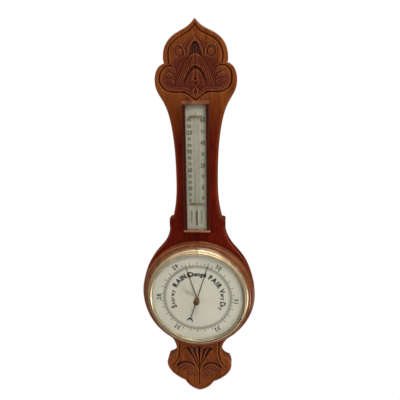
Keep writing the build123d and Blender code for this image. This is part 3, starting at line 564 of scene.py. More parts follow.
def three_point_arc(a, b, c, step=0.8):
    """The arc from a through b to c."""
    (ax, ay), (bx, by), (cx, cy) = a, b, c
    d = 2 * (ax * (by - cy) + bx * (cy - ay) + cx * (ay - by))
    qa, qb, qc = ax * ax + ay * ay, bx * bx + by * by, cx * cx + cy * cy
    ux = (qa * (by - cy) + qb * (cy - ay) + qc * (ay - by)) / d
    uy = (qa * (cx - bx) + qb * (ax - cx) + qc * (bx - ax)) / d
    r = math.hypot(ax - ux, ay - uy)
    angles = np.unwrap([math.atan2(y - uy, x - ux) for x, y in (a, b, c)])
    steps = max(3, int(r * abs(angles[2] - angles[0]) / step))
    turns = np.linspace(angles[0], angles[2], steps)
    return [np.array((ux + r * math.cos(t), uy + r * math.sin(t))) for t in turns]


def board_outline():
    """The right half of the board's outline, from the crest's point to the tip of the base."""
    start, stop = math.radians(BODY_START), math.radians(BODY_STOP)
    body = [(BODY_R * math.cos(a), BODY_R * math.sin(a)) for a in (start, (start + stop) / 2, stop)]
    onto, off = (math.sin(start), -math.cos(start)), (math.sin(stop), -math.cos(stop))
    runs = [
        spline([(0, CREST_TIP), (12, 554.5), (24, 547.2), (39, 539.5), (54.5, 525.5), (61.6, 511),
                (63.4, 497)], (0.8, -1), (0, -1)),
        three_point_arc((63.4, 497), (63.1, 491), (61.5, 485.5)),
        spline([(61.5, 485.5), (71.5, 480.2), (79.2, 467.5), (81.5, 453), (77.6, 433.5), (66.9, 414.7),
                NECK_TOP], (1, -0.25), (-0.25, -1)),
        spline([NECK_TOP, (46.4, 336), (42.8, 262), (44.8, 210), (51.5, 174.5)], (-0.25, -1), (0.25, -1)),
        [np.array((51.5, 174.5)), np.array((56.8, 173.4))],
        three_point_arc((56.8, 173.4), (58.6, 172.4), (59.1, 170.4)),
        spline([(59.1, 152), (63, 134), (73.5, 115.5), (88.8, 97.3), (104.5, 74.5), body[0]],
               (0, -1), onto),
        three_point_arc(*body),
        spline([body[2], (60.5, -112.5), (52.2, -131), (53.2, -146.5), (69, -157.5)], off, (1, -0.3)),
        spline([(69, -157.5), (74, -174), (66.5, -195.5), (50, -210.5), (33.5, -219)],
               (0.5, -1), (-1, -0.35)),
        three_point_arc((33.5, -219), (20, -235), (0, BASE_TIP)),
    ]
    line = np.array([p for run in runs for p in run])
    keep = [0]
    for k in range(1, len(line)):
        if line[k, 1] < line[keep[-1], 1] - 0.02:
            keep.append(k)
    line = line[keep]
    line[0, 0] = line[-1, 0] = 0.0
    return line


# ---- Carving ----
def near(curve, x, y):
    """Each place's distance from a curve, the share of the curve passed, and the side it lies on."""
    best = np.full(x.shape, 1e9)
    share, side = np.zeros(x.shape), np.zeros(x.shape)
    curve = np.array(curve, float)
    lengths = np.linalg.norm(np.diff(curve, axis=0), axis=1)
    passed = np.concatenate([[0], np.cumsum(lengths)])
    for k, length in enumerate(lengths):
        dx, dy = (curve[k + 1] - curve[k]) / length
        px, py = x - curve[k, 0], y - curve[k, 1]
        t = np.clip(px * dx + py * dy, 0, length)
        d = np.hypot(px - t * dx, py - t * dy)
        closer = d < best
        best[closer] = d[closer]
        share[closer] = ((passed[k] + t) / passed[-1])[closer]
        side[closer] = np.sign(px * dy - py * dx)[closer]
    return best, share, side


class Relief:
    """The carved front: heights over a set of places, worked mirrored on the right half."""

    def __init__(self, x, y):
        wobble = 0.35 * np.sin(0.21 * y + 0.6) + 0.25 * np.sin(0.37 * x + 0.11 * y)
        self.x = np.abs(x + wobble * np.clip(np.abs(x) / 6, 0, 1))
        self.y = y + 0.3 * np.sin(0.17 * x + 0.9)
        self.z = np.zeros(x.shape)
        self.stain = np.zeros(x.shape)

    def close_to(self, curve, reach):
        curve = np.array(curve, float)
        low, high = curve.min(axis=0) - reach, curve.max(axis=0) + reach
        beside = (self.x > low[0]) & (self.x < high[0])
        return np.nonzero(beside & (self.y > low[1]) & (self.y < high[1]))[0]

    def oval(self, cx, cy, rx, ry):
        return np.sqrt(((self.x - cx) / rx) ** 2 + ((self.y - cy) / ry) ** 2)

    def groove(self, points, width, depth, fade=False):
        """A V-cut with soft shoulders; with fade it runs out at both ends."""
        curve = spline(points, step=2.0)
        at = self.close_to(curve, width * 1.5)
        d, share, _ = near(curve, self.x[at], self.y[at])
        cut = depth * np.clip(1 - d / width, 0, 1) ** 1.2
        if fade:
            cut *= np.clip(np.minimum(share, 1 - share) * 6, 0, 1)
        self.z[at] -= cut

    def blade(self, points, width, rise, floor=-1.6, crease=0.0, root=0.35, blunt=0.5):
        """A leaf along a curve: a domed body that swells from its root and closes at its tip."""
        curve = spline(points, step=2.0)
        at = self.close_to(curve, width * 1.6)
        d, share, side = near(curve, self.x[at], self.y[at])
        half = width * np.clip(root + (1 - root) * np.sin(math.pi * share ** 0.8), 0.05, 1)
        half = half * np.clip((1 - share) * 5, 0, 1) ** blunt + 0.01
        across = d / half
        dome = rise * np.sqrt(np.clip(1 - across ** 2, 0, 1)) - crease * np.clip(1 - d / 0.9, 0, 1)
        lean = 0.25 * rise * side * np.clip(across, 0, 1)
        z = self.z[at]
        moat = np.clip((across - 1) / 0.5, 0, 1)
        lowered = np.minimum(z, floor * (1 - moat) + z * moat)
        self.z[at] = np.where(across < 1, floor + 1.2 + dome + lean, np.where(across < 1.5, lowered, z))

    def scoop(self, points, width, depth):
        """A petal cut hollow along a curve, with a raised rim left standing round it."""
        curve = spline(points, step=2.0)
        at = self.close_to(curve, width * 1.6)
        d, share, _ = near(curve, self.x[at], self.y[at])
        half = width * np.clip(0.3 + 0.7 * np.sin(math.pi * np.clip(share, 0, 0.62) / 1.24), 0.05, 1)
        half = half * np.clip((1 - share) * 6, 0, 1) ** 0.4 + 0.01
        across = d / half
        cut = depth * np.clip(1 - across ** 2, 0, 1) ** 0.7
        lip = 0.7 * np.clip(1 - np.abs(d - half - 0.6) / 1.1, 0, 1)
        z = self.z[at]
        self.z[at] = np.where(across < 1, -0.2 - cut, np.maximum(z, np.minimum(z + lip, 0.9)))

    def bowl(self, cx, cy, rx, ry, depth):
        """A scooped hollow."""
        self.z -= depth * np.clip(1 - self.oval(cx, cy, rx, ry) ** 2.0, 0, 1) ** 0.5

    def mound(self, cx, cy, rx, ry, rise, base):
        """A low oval swelling that covers what was there, with a line cut round it."""
        d = self.oval(cx, cy, rx, ry)
        self.z = np.where(d < 1, base + rise * np.sqrt(np.clip(1 - d ** 2, 0, 1)), self.z)
        self.z -= 1.2 * np.clip(1 - np.abs(d - 1.04) * min(rx, ry) / 1.2, 0, 1)

    def darken(self, cx, cy, rx, ry, amount):
        """Darkens the carving, a darker finish together with painted shade, fading out at its edge."""
        spread = np.clip((1.15 - self.oval(cx, cy, rx, ry)) / 0.35, 0, 1)
        self.stain = np.maximum(self.stain, amount * spread)

    def arch(self, apex, foot, half, power):
        """Where each place lies under a pointed arch: 0 on its middle line, 1 on the arch itself."""
        fall = np.clip((apex - self.y) / (apex - foot), 1e-6, None)
        q = self.x / (half * fall ** power)
        return np.where((self.y < apex) & (self.y > foot), q, 9.0)

    def shell(self, apex, foot, half, power, base, rise, strands=0, inner=0.45):
        """A pointed swelling with a line cut round it and strands that run down from its top."""
        q = self.arch(apex, foot, half, power)
        fall = np.clip((apex - self.y) / 14, 0, 1)
        body = base + rise * np.sqrt(np.clip(1 - q ** 2, 0, 1))
        if strands:
            wave = np.cos(2 * math.pi * strands * (q - inner) / (1 - inner))
            body -= 0.8 * fall * (1 - wave) * (q > inner)
        low_end = np.clip((self.y - foot) / 12, 0, 1)
        self.z = np.where(q < 1, body * low_end + np.minimum(self.z, body) * (1 - low_end), self.z)
        span = half * np.clip((apex - self.y) / (apex - foot), 0.02, 1) ** power
        self.z -= 1.5 * low_end * np.clip(1 - np.abs(q - 1.03) * span / 1.3, 0, 1)


def carve_crest(r):
    """The crest's outline, scrolls, hood, great shell, small dome and low leaves."""
    r.groove([(0, 556), (5, 548.5), (14, 541.5), (24, 536), (35, 530.5), (45, 522), (52, 510), (53.5, 497),
              (52, 485)], 2.7, 3.0)
    r.groove([(48, 480.5), (57, 479.5), (66, 473), (71, 462), (71, 450), (66, 440), (57, 433), (48, 430.5),
              (30, 431), (20, 428.5), (10, 422), (0, 414.5)], 2.7, 3.0)
    # the ground behind the leaves is taken down a little
    r.bowl(0, 462, 62, 38, 1.1)
    r.bowl(0, 500, 36, 30, 0.9)
    # low leaves that fill the lower lobes
    for points, width in (
        ([(40, 468), (45, 473), (52, 475)], 4.4),
        ([(43, 457), (50, 462), (60, 466)], 5.0),
        ([(40, 448), (50, 451), (64, 455)], 5.0),
        ([(12, 434.5), (26, 436), (42, 436.5), (58, 440)], 4.0),
        ([(3, 433), (10, 429.5), (20, 431.5)], 3.0),
    ):
        r.blade(points, width, 0.5, floor=-1.3, crease=0.5, blunt=0.3)
    for x, y in ((47, 473), (58, 466), (61, 455), (57, 445), (46, 440), (34, 437)):
        r.bowl(x, y, 2.6, 2.2, 0.7)
    # scrolls beside the hood
    r.blade([(19, 497), (21.5, 507), (25, 516.5), (33, 520), (41, 516), (43, 507)], 1.6, 0.6,
            floor=-0.9, root=0.8)
    r.groove([(22.6, 506), (25, 512.5), (31, 515), (37, 512.5), (39.6, 506), (37.2, 499.5), (31, 496.8),
              (25, 499), (22.6, 505)], 1.7, 1.5)
    r.mound(31, 506, 6.2, 6.2, 0.7, -0.3)
    # hood: a hatched hollow under a round-topped arch with beads round it
    r.shell(530, 496, 19.5, 0.42, -0.3, 0.6)
    hood = r.arch(525, 496, 14.5, 0.42)
    hatch = 0.35 * np.cos(1.9 * r.x) + 0.25 * np.cos(1.5 * (r.y + 0.5 * r.x))
    r.z = np.where(hood < 1, -0.6 - 2.6 * (1 - np.clip(hood, 0, 1) ** 6) + hatch * (hood < 0.9), r.z)
    beads = ((0, 534, 2.2), (6.5, 531, 2.1), (12.6, 526.5, 2.0), (17.8, 520.5, 1.9), (21, 513, 1.8))
    for x, y, radius in beads:
        r.mound(x, y, radius, radius, 0.8, -0.2)
    # the great shell with its strands, the dark arch in it and the small dome
    r.shell(503, 441, 43.0, 0.55, -0.9, 1.8, strands=5, inner=0.36)
    gap = r.arch(480.5, 441, 28.5, 0.5)
    deep = (1.5 + 1.2 * (1 - np.clip(gap, 0, 1) ** 4)) * np.clip((r.y - 441) / 12, 0, 1)
    r.z = np.where(gap < 1, np.minimum(r.z, -deep), r.z)
    r.shell(473.5, 440, 24.0, 0.5, -1.2, 1.8, strands=4, inner=0.45)
    r.groove([(0, 503), (0, 488), (0, 470), (0, 456)], 2.0, 2.2)
    r.bowl(0, 455.5, 3.8, 2.9, 2.6)
    r.bowl(0, 446.5, 3.6, 2.6, 2.6)
    r.mound(0, 440, 2.8, 2.4, 1.3, -0.6)
    r.blade([(1.5, 437), (5, 432), (3, 425), (0.5, 420)], 2.2, 0.7, floor=-1.0)
    # the sunk carving darkened: a darker finish together with painted shade
    r.darken(0, 450, 68, 24, 1.0)
    r.darken(0, 472, 52, 32, 0.95)
    r.darken(0, 507, 27, 21, 0.8)
    r.darken(31, 504, 13, 15, 0.45)


def carve_base(r):
    """The base's outline, its fountain of ribs, the side leaves and the curls."""
    r.groove([(45.5, -112), (45.5, -135), (46, -150), (51, -167), (63, -182)], 2.5, 2.8)
    r.groove([(66, -186), (57, -198), (43, -207.5), (31, -214), (22, -226), (10, -234), (0, -237)],
             1.7, 2.2)
    r.groove([(63, -182), (57, -188), (50, -187)], 1.6, 1.6, fade=True)
    # ribs that bow out from the stem, in a ground sunk under a scalloped edge
    scallops = np.array([(0, -130), (4, -130.5), (8, -132.5), (11, -137), (14, -134), (19, -132.5),
                         (26, -132.8), (31, -134), (36, -139.5)], float)
    top = np.interp(r.x, scallops[:, 0], scallops[:, 1])
    root, crown, spread = -192.0, -131.0, 34.0
    rise = np.clip((r.y - root) / (crown - root), 1e-6, 1)
    across = r.x / (spread * rise ** 1.35 + 1.5)
    inside = (across < 1) & (r.y < top) & (r.y > root)
    wave = np.cos(5 * math.pi * (across - 0.2))
    edge = np.clip((1 - across) / 0.12, 0, 1)
    r.z = np.where(inside, (1.5 * wave - 1.2 * rise - 1.1) * edge, r.z)
    # darker between the ribs and towards the crown, where the ground sinks deepest: painted shade together
    # with a darker finish
    r.stain = np.where(inside, np.maximum(r.stain, 0.35 + 0.3 * rise - 0.18 * wave), r.stain)
    r.groove(scallops, 2.4, 2.6)
    # side leaves: a dark hollow along the top and feathered strands under it
    r.scoop([(7, -188), (20, -172), (37, -171), (53, -184)], 4.0, 2.6)
    for points, width in (
        ([(6, -191), (20, -178.5), (35, -177.5), (49, -186.5)], 2.3),
        ([(6, -195), (19, -184.5), (32, -183), (44, -190)], 2.3),
        ([(5, -199), (16, -190), (27, -188.5), (37, -194)], 2.2),
    ):
        r.blade(points, width, 1.7, floor=-2.0, root=0.6)
    # curls at the foot of the leaves
    for x, y, radius in ((9, -208, 3.2), (15.5, -201, 3.2), (26, -200, 3.4)):
        r.mound(x, y, radius, radius, 1.1, -0.3)
        r.bowl(x + 0.9, y - 0.9, 1.8, 1.6, 1.8)
    r.groove([(0, -134), (0, -160), (0, -190), (0, -226)], 2.2, 2.8)
    # the side leaves and the curls darkened: a darker finish together with painted shade
    r.darken(30, -180, 27, 11, 0.75)
    r.darken(14, -200, 16, 8, 0.4)


def board_grid(line):
    """Places over the board's front, closer together where it is carved, and its two widths a row."""
    round_hole = [CASE_HOLE_R * math.cos(a) for a in np.linspace(0, math.pi, 160)]
    base, crest = np.arange(-225, -128, 0.75), np.arange(414, 545, 0.75)
    levels = np.concatenate([line[:, 1], round_hole, np.arange(-243, 567, 1.3), base, crest])
    levels = np.sort(levels)[::-1]
    rows = [levels[0]]
    for y in levels[1:]:
        if rows[-1] - y > 0.28:
            rows.append(y)
    rows[-1] = line[-1, 1]
    rows = np.array(rows)
    width = np.interp(rows, line[::-1, 1], line[::-1, 0])
    hole = np.sqrt(np.clip(CASE_HOLE_R ** 2 - rows ** 2, 0, None))
    rim = np.minimum(4.5, 0.5 * (width - hole))
    turn = np.sin(np.linspace(0, math.pi / 2, 9))[1:]
    cols = [hole + (width - rim - hole) * t for t in np.linspace(0, 1, 84)]
    cols += [width - rim + rim * t for t in turn]
    half = np.stack(cols, axis=1)
    x = np.concatenate([-half[:, ::-1], half], axis=1)
    y = np.repeat(rows[:, None], x.shape[1], axis=1)
    return rows, hole, x, y


def edge_distance(line, x, y):
    """How far each place lies from the board's outline."""
    tree = KDTree(len(line))
    for k, p in enumerate(line):
        tree.insert((p[0], p[1], 0), k)
    tree.balance()
    return np.array([tree.find((abs(a), b, 0))[2] for a, b in zip(x.ravel(), y.ravel())]).reshape(x.shape)


def wear(grid, d):
    """How hollow and how raised each place is, from its height against its neighbours': painted shade in the
    hollows and where cut deep, and painted highlight, together with rubbing, on the ridges and along the
    rounded edge.
    """
    soft = grid.copy()
    for _ in range(14):
        soft[1:-1, 1:-1] = (soft[1:-1, 1:-1] + soft[:-2, 1:-1] + soft[2:, 1:-1] + soft[1:-1, :-2]
                            + soft[1:-1, 2:]) / 5
    inside = np.clip((d - 3.0) / 3.0, 0, 1)
    # painted shade: darker where a place lies below its neighbours, and where it is cut deep
    hollow = np.clip((soft - grid) / 0.85, 0, 1) * inside
    hollow = np.maximum(hollow, np.clip((-grid - 1.2) / 2.2, 0, 1) * inside)
    # painted highlight together with rubbing: lighter on ridges and in a band along the rounded edge
    worn = np.clip((grid - soft) / 1.1, 0, 1) * 0.55
    worn = np.maximum(worn, np.clip(1 - np.abs(d - 1.6) / 1.6, 0, 1) * 0.25)
    return hollow.ravel(), worn.ravel()


def make_board():
    """The carved board: a fine relief in front, a plain back with the let-in plate's pocket."""
    line = board_outline()
    rows, hole, x, y = board_grid(line)
    relief = Relief(x.ravel(), y.ravel())
    carve_crest(relief)
    carve_base(relief)
    d = edge_distance(line, x, y)
    turned = np.clip(EDGE_ROLL - d, 0, EDGE_ROLL)
    drop = EDGE_ROLL - np.sqrt(np.clip(EDGE_ROLL ** 2 - turned ** 2, 0, None))
    z = np.minimum(relief.z - drop.ravel(), 2.4)
    hollow, worn = wear(z.reshape(x.shape), d)
    front = np.stack([x.ravel(), y.ravel(), z], axis=1)
    wide = x.shape[1]
    middle = wide // 2
    faces = []
    for k in range(len(rows) - 1):
        for j in range(wide - 1):
            if j != middle - 1:
                a = k * wide + j
                faces.append((a, a + 1, a + wide + 1, a + wide))
    # walls round the outside and the hole, each a row of quads down to the back
    extra = []
    loops = {}
    levels = (-9.0, -BOARD_T + 0.8, -BOARD_T)
    for name, column in (("left", 0), ("right", wide - 1), ("hole_left", middle - 1), ("hole_right", middle)):
        first = loops[name] = len(front) + len(extra)
        extra += [(x[k, column], rows[k], level) for k in range(len(rows)) for level in levels]
        for k in range(len(rows) - 1):
            if name.startswith("hole") and hole[k] == 0 and hole[k + 1] == 0:
                continue
            tops = (k * wide + column, (k + 1) * wide + column)
            for level in range(3):
                lows = (first + 3 * k + level, first + 3 * (k + 1) + level)
                faces.append((tops[0], lows[0], lows[1], tops[1]))
                tops = lows
    # the back, in strips between the outline and the hole
    for a, b in ((loops["left"], loops["hole_left"]), (loops["right"], loops["hole_right"])):
        for k in range(2, 3 * len(rows) - 1, 3):
            faces.append((a + k, b + k, b + k + 3, a + k + 3))
    board = piece("board", np.concatenate([front, np.array(extra)]), faces, "case", "carved_oak", 60.0)
    paint(board, front, (("hollow", hollow, 0.0), ("worn", worn, 0.0), ("stain", relief.stain, 0.0)))
    cut_hanger_pocket(board)
    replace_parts(board, "case_board")


def paint(obj, points, layers):
    """Stores each place's painted shade in the hollows, its painted highlight with rubbing on ridges and
    edges, and the darkening of its carving, a darker finish with painted shade; and marks what isn't in front
    as raw.
    """
    mesh = obj.data
    tree = KDTree(len(points))
    for k, p in enumerate(wall(points)):
        tree.insert(p, k)
    tree.balance()
    found = [tree.find(vertex.co)[1:] for vertex in mesh.vertices]
    for name, values, elsewhere in (*layers, ("raw", np.zeros(len(points)), 1.0)):
        layer = mesh.attributes.new(name, "FLOAT", "POINT")
        for k, (index, distance) in enumerate(found):
            layer.data[k].value = float(values[index]) if distance < 1e-4 else elsewhere


def cut_hanger_pocket(board):
    """Cuts the pocket for the hanger plate, its screw holes and the hole behind its eye."""
    profile = []
    for side in (1, -1):
        for a in np.linspace(-math.pi / 2, math.pi / 2, 24):
            profile.append((side * (POCKET_REACH + POCKET_R * math.cos(a)), side * POCKET_R * math.sin(a)))
    cutters = [prism(profile, -BOARD_T - 1, -BOARD_T + POCKET_DEPTH)]
    cutters += [prism(circle(r, 48, x), -BOARD_T + 1.5, top) for x, r, top in HANGER_BORES]
    for cutter in cutters:
        mod = board.modifiers.new("pocket", "BOOLEAN")
        mod.object = cutter
        mod.operation = "DIFFERENCE"
        mod.solver = "FAST"
        bpy.context.view_layer.objects.active = board
        bpy.ops.object.modifier_apply(modifier=mod.name)
        bpy.data.objects.remove(cutter)
    for face in board.data.polygons:
        if face.normal.y > 0.9:
            face.use_smooth = False


def prism(outline, z0, z1):
    """A plain cutter, drawn about the hanging hole."""
    ends = [(x, y + DIAL_DROP, z) for z in (z0, z1) for x, y in outline]
    return extrusion("cutter", ends, "carved_oak", ride=False)


# ---- Ring, bezel and glass ----
def make_ring():
    """The turned ring: a bead at the board, a long ovolo, a quirk and the seat for the bezel."""
    profile = [(CASE_HOLE_R, 0.0), (SURROUND_R - 0.2, 0.0), (SURROUND_R, 0.4), (SURROUND_R, 1.6)]
    profile += bow((SURROUND_R, 1.6), (122.1, 2.6), (121.2, 3.2), 5) + [(120.9, 3.1), (120.6, 2.2)]
    profile += bow((120.6, 3.4), (119.8, 8.2), (117.5, 12.3), 12)
    profile += [(117.3, 12.4), (116.9, 11.4), (116.5, 12.6), (116.2, 13.6)]
    profile += bow((115.9, 13.6), (113.5, 14.2), (111.9, 15.4), 8)
    profile += [(111.6, 15.58), (FOOT_R + 0.5, 15.6), (FOOT_R + 0.3, 15.4), (FOOT_R + 0.3, SEAT_Z),
                (SEAT_R, SEAT_Z), (SEAT_R, LEDGE_Z), (CASE_HOLE_R, LEDGE_Z)]
    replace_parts(lathe("ring", profile, "case", "turned_oak", 300), "dial_surround")


def make_bezel():
    """The spun bezel: foot, cove, upright and the rolled bead; and the sight band inside it."""
    lip_low, lip_root = GLASS_Z + 1.8, GLASS_Z + 1.1
    seat, neck, neck_z = SEAT_Z + 1.2, 105.6, SEAT_Z + 5.6
    inner, outer, tail_z = 104.3, 106.4, 11.2
    profile = [(SIGHT_R + 0.1, lip_low), (inner, lip_root), (inner, tail_z), (outer, tail_z), (outer, SEAT_Z),
               (FOOT_R - 0.1, SEAT_Z), (FOOT_R, SEAT_Z + 0.2), (FOOT_R, seat - 0.3), (FOOT_R - 0.3, seat)]
    profile += bow((109.0, seat), (106.7, seat + 1.5), (neck, neck_z), 12)
    profile += [(neck, neck_z), (neck - 0.05, 23.0)]
    profile += three_point_arc((neck, 23.4), (104.8, 25.3), (103.0, 26.0), 0.35)
    profile += bow((103.0, 26.0), (101.3, 25.5), (SIGHT_R + 0.25, 24.7), 7)
    profile += [(SIGHT_R + 0.05, 24.55), (SIGHT_R, 24.3), (SIGHT_R, lip_low + 0.15)]
    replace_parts(lathe("bezel_ring", profile, "case", "lacquered_brass", 360), "bezel")
    inside = soften([(97.3, DIAL_Z + 0.1), (DIAL_R, DIAL_Z), (DIAL_R, GLASS_Z), (100.8, GLASS_Z)], 0.3)
    band = lathe("sight_band", inside, "case", "dull_brass")
    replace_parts(band, "sight_ring")


def make_dial_glass():
    front = GLASS_Z + GLASS_T
    profile = [(BUSH_R, GLASS_Z), (DIAL_R, GLASS_Z), (DIAL_R, GLASS_Z + 1.0), (BEVEL_R, front),
               (BUSH_R, front)]
    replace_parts(lathe("front_glass", profile, "case", "clear_glass", 200, smooth=5.0), "dial_glass")


# ---- Printed scales ----
class Print:
    """Printing gathered into one flat mesh just above a plate."""

    def __init__(self, z):
        self.z = z
        self.points, self.faces = [], []

    def shape(self, outline):
        first = len(self.points)
        self.points += [(x, y, self.z) for x, y in outline]
        self.faces.append(tuple(range(first, first + len(outline))))

    def bar(self, x0, y0, x1, y1):
        self.shape([(x0, y0), (x1, y0), (x1, y1), (x0, y1)])

    def spoke(self, degrees, inner, outer, width):
        """A tick on a round scale."""
        a = math.radians(degrees)
        c, s = math.cos(a), math.sin(a)
        corners = []
        for r, side in ((inner, -1), (inner, 1), (outer, 1), (outer, -1)):
            corners.append((s * r + c * width / 2 * side, c * r - s * width / 2 * side))
        self.shape(corners)

    def band(self, inner, outer, steps=240):
        """A printed circle."""
        for k in range(steps):
            a, b = (2 * math.pi * (k + t) / steps for t in (0, 1))
            self.shape([(r * math.sin(t), r * math.cos(t))
                        for r, t in ((inner, a), (outer, a), (outer, b), (inner, b))])

    def glyph(self, character, size, place, turn, bold, squeeze):
        """One character, centred on place, turned clockwise by turn degrees."""
        points, faces = letter(character, bold)
        if not len(points):
            return
        x = (points[:, 0] - (points[:, 0].min() + points[:, 0].max()) / 2) * size * squeeze
        y = (points[:, 1] - 0.36) * size
        c, s = math.cos(math.radians(turn)), math.sin(math.radians(turn))
        first = len(self.points)
        for px, py in zip(x, y):
            self.points.append((place[0] + px * c + py * s, place[1] - px * s + py * c, self.z))
        self.faces += [tuple(first + k for k in face) for face in faces]

    def line(self, text, size, place, bold, squeeze, gap, turn=0.0):
        """Text in a straight line, centred on place."""
        widths = [letter_width(c, bold) * size * squeeze + gap * size for c in text]
        a = math.radians(turn)
        run = -sum(widths) / 2
        for c, w in zip(text, widths):
            middle = run + w / 2
            spot = (place[0] + middle * math.cos(a), place[1] - middle * math.sin(a))
            self.glyph(c, size, spot, turn, bold, squeeze)
            run += w

    def arch(self, text, sizes, radius, centre, span, bold, squeeze):
        """Text round the dial, its letters' tops outwards."""
        widths = [letter_width(c, bold) * s * squeeze + 1.0 for c, s in zip(text, sizes)]
        run = 0.0
        for c, s, w in zip(text, sizes, widths):
            degrees = centre - span / 2 + span * (run + w / 2) / sum(widths)
            a = math.radians(degrees)
            r = radius + 0.18 * (s - min(sizes))
            self.glyph(c, s, (r * math.sin(a), r * math.cos(a)), degrees, bold, squeeze)
            run += w

    def make(self, name, slot):
        return piece(name, self.points, self.faces, "case", slot)


LETTERS = {}


def letter(character, bold):
    """A character's mesh at a size of 1, as its points and faces."""
    if (character, bold) not in LETTERS:
        data = bpy.data.curves.new("letter", "FONT")
        data.body = character
        data.offset = bold
        data.resolution_u = 3
        holder = bpy.data.objects.new("letter", data)
        mesh = bpy.data.meshes.new_from_object(holder)
        points = np.array([tuple(v.co)[:2] for v in mesh.vertices]).reshape(-1, 2)
        LETTERS[(character, bold)] = (points, [tuple(f.vertices) for f in mesh.polygons])
        bpy.data.objects.remove(holder)
        bpy.data.meshes.remove(mesh)
    return LETTERS[(character, bold)]


def letter_width(character, bold):
    points, _ = letter(character, bold)
    return float(np.ptp(points[:, 0])) if len(points) else 0.3


def make_dial():
    edge = 0.25
    profile = [(ARBOR_HOLE_R, DIAL_Z - DIAL_T), (DIAL_R, DIAL_Z - DIAL_T), (DIAL_R, DIAL_Z - edge),
               (DIAL_R - edge, DIAL_Z), (ARBOR_HOLE_R, DIAL_Z)]
    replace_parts(lathe("dial_face", profile, "case", "dial_enamel"), "dial_plate")
    fine, bold = (Print(DIAL_Z + rise) for rise in PRINT_RISES)
    for inner, outer in SCALE_LINES:
        fine.band(inner, outer)
    for k in range(int(360 / TICK_DEGREES)):
        degrees = k * TICK_DEGREES
        kind = 2 if k % 10 == 0 else 1 if k % 5 == 0 else 0
        fine.spoke(degrees, TICK_FOOT, *TICKS[kind])
        if kind == 2:
            a = math.radians(degrees)
            fine.shape(circle(TICK_DOT, 11, TICK_DOT_R * math.sin(a), TICK_DOT_R * math.cos(a)))
    for label, degrees in DIAL_NUMBERS:
        bold.arch(label, (NUMBER_SIZE,) * 2, NUMBER_R, degrees, NUMBER_SPAN, 0.040, 0.9)
    for word in DIAL_WORDS:
        bold.arch(*word)
    bold.make("dial_words", "ink")
    fine.make("dial_scale", "pale_ink")


def degree_scale(ink, pale, side, degrees, above_ten, ends, widths, number_x, strong_every, squeeze):
    """One side's ticks and numbers.

    above_ten turns a degree into Fahrenheit degrees over ten; ends and widths are those of the short
    and the long ticks.
    """
    for degree in degrees:
        y = TEN_DEGREES_Y + DEGREE_PITCH * above_ten(degree)
        long = degree % 10 == 0
        half = widths[long] / 2
        pale.bar(side * 2.6, y - half, side * ends[long], y + half)
        if long:
            strong = degree % strong_every == 0
            size, bold = (11.8, 0.045) if strong else (9.4, 0.030)
            ink.line(str(abs(degree)), size, (side * number_x, y), bold, squeeze, 0.06)
            if strong and side > 0:
                ink.bar(6, y - 5.4, 18.6, y - 5.0)


def make_scale_plate():
    inner = BOX_IN - PLATE_GAP
    low, high = BOX_LOW + PLATE_GAP, BOX_HIGH - PLATE_GAP
    section = soften([(-inner, 0), (inner, 0), (inner, PLATE_T), (-inner, PLATE_T)], 0.3)
    ends = [(x, y, z) for y in (low, high) for x, z in section]
    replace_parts(extrusion("scale_plate", ends, "opal_scale"), "thermometer_plate")
    pale, ink = (Print(PLATE_T + rise) for rise in PRINT_RISES)
    degree_scale(ink, pale, -1, range(2, 146), lambda f: f - 10, (5.4, 7.4), (0.5, 0.7), 13.4, 30, 0.68)
    degree_scale(ink, pale, 1, range(-14, 63), lambda c: c * 1.8 + 22, (7.0, 8.4), (0.8, 0.8), 13.6, 20, 0.7)
    for text, x in (("Fahrenheit", -12.2), ("Centigrade", 8.6)):
        ink.line(text, 7.0, (x, 177), 0.030, 0.72, 0.1, turn=-90)
    half = 0.15
    low, high = low + 2, high - 2
    for x in (-BORDER_X, BORDER_X):
        pale.bar(x - half, low, x + half, high)
    for y in (low, high):
        pale.bar(-BORDER_X, y - half, BORDER_X, y + half)
    ink.make("scale_numbers", "ink")
    pale.make("scale_lines", "pale_ink")


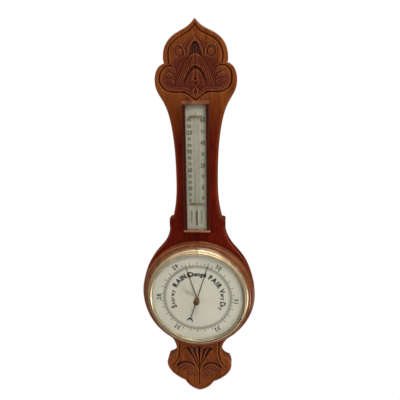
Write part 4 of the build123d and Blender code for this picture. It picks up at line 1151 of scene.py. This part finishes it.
def make_rails():
    """The box's grooved side rails and the end mouldings."""
    for name, side in (("left", -1), ("right", 1)):
        section = [(BOX_IN, 0), (BOX_OUT, 0), (BOX_OUT, RAIL_H - 1.4), (BOX_OUT - 1.0, RAIL_H - 0.3),
                   (BOX_OUT - 2.2, RAIL_H), (BOX_IN + 0.8, RAIL_H), (BOX_IN, RAIL_H - 0.6),
                   (BOX_IN, GROOVE_HIGH), (BOX_IN + GROOVE_DEPTH, GROOVE_HIGH),
                   (BOX_IN + GROOVE_DEPTH, GROOVE_LOW), (BOX_IN, GROOVE_LOW)]
        ends = [(side * x, y, z) for y in (BOX_LOW, BOX_HIGH) for x, z in section]
        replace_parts(bevelled(extrusion("rail_" + name, ends, "box_wood"), 0.25), "box_rail_" + name)
    section = [(0, 0), (0, RAIL_H - 1.6), (0.4, RAIL_H - 1.2), (3.3, RAIL_H), (3.6, RAIL_H + 0.45),
               (4.4, RAIL_H + 0.5), (5.0, RAIL_H + 0.1), (5.8, RAIL_H - 1.2), (5.9, RAIL_H - 3.0),
               (6.4, RAIL_H - 4.4), (7.5, RAIL_H - 5.2), (7.5, 0)]
    reach = BOX_OUT + END_RAIL_PAST
    # the end rails are given the lighter turned oak: a painted highlight, lighter than the box's dark side
    # rails
    for name, y0, out in (("top", BOX_HIGH, 1), ("bottom", BOX_LOW, -1)):
        ends = [(x, y0 + out * y, z) for x in (-reach, reach) for y, z in section]
        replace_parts(bevelled(extrusion("rail_" + name, ends, "turned_oak"), 0.2), "box_rail_" + name)


# ---- Set hand's knob ----
def make_knob():
    """A ribbed knob on a waisted foot, with a low domed top."""
    base, low, high, r = KNOB_BASE, KNOB_LOW, KNOB_HIGH, KNOB_R
    profile = [(0.0, base), (3.5, base), (3.6, base + 0.2), (3.6, base + 1.0), (3.3, base + 1.5)]
    profile += bow((3.3, base + 1.5), (2.5, base + 3.0), (2.6, low - 0.9), 8)
    profile += [(2.7, low - 0.8), (r - 0.9, low - 0.1), (r - 0.3, low + 0.3), (r, low + 0.9), (r, low + 1.4),
                (r, high - 1.2), (r, high - 0.7), (r - 0.3, high - 0.2), (r - 0.8, high)]
    profile += bow((r - 0.8, high), (r / 2, KNOB_TOP - 0.35), (0.0, KNOB_TOP), 8) + [(0.0, KNOB_TOP)]
    ribs = (20, 0.45, low + 0.8, high - 0.5, r - 0.5)
    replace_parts(lathe("ribbed_knob", profile, "set_hand", "knob_brass", ribs=ribs), "set_knob")


def dress_nodes():
    """The CAD pieces that stay get their slot's material."""
    slots = {part["node"]: part["material_slot"] for part in frame["record"]["subparts"]}
    for node, obj in frame["nodes"].items():
        material = MAT[slots[node]]
        if not obj.material_slots:
            obj.data.materials.append(material)
        for holder in obj.material_slots:
            holder.material = material


make_camera()
make_world()
make_floor()
for light in LIGHTS:
    area_light(*light)
MAT = make_materials()
dress_nodes()
make_board()
make_ring()
make_bezel()
make_dial()
make_dial_glass()
make_scale_plate()
make_rails()
make_knob()
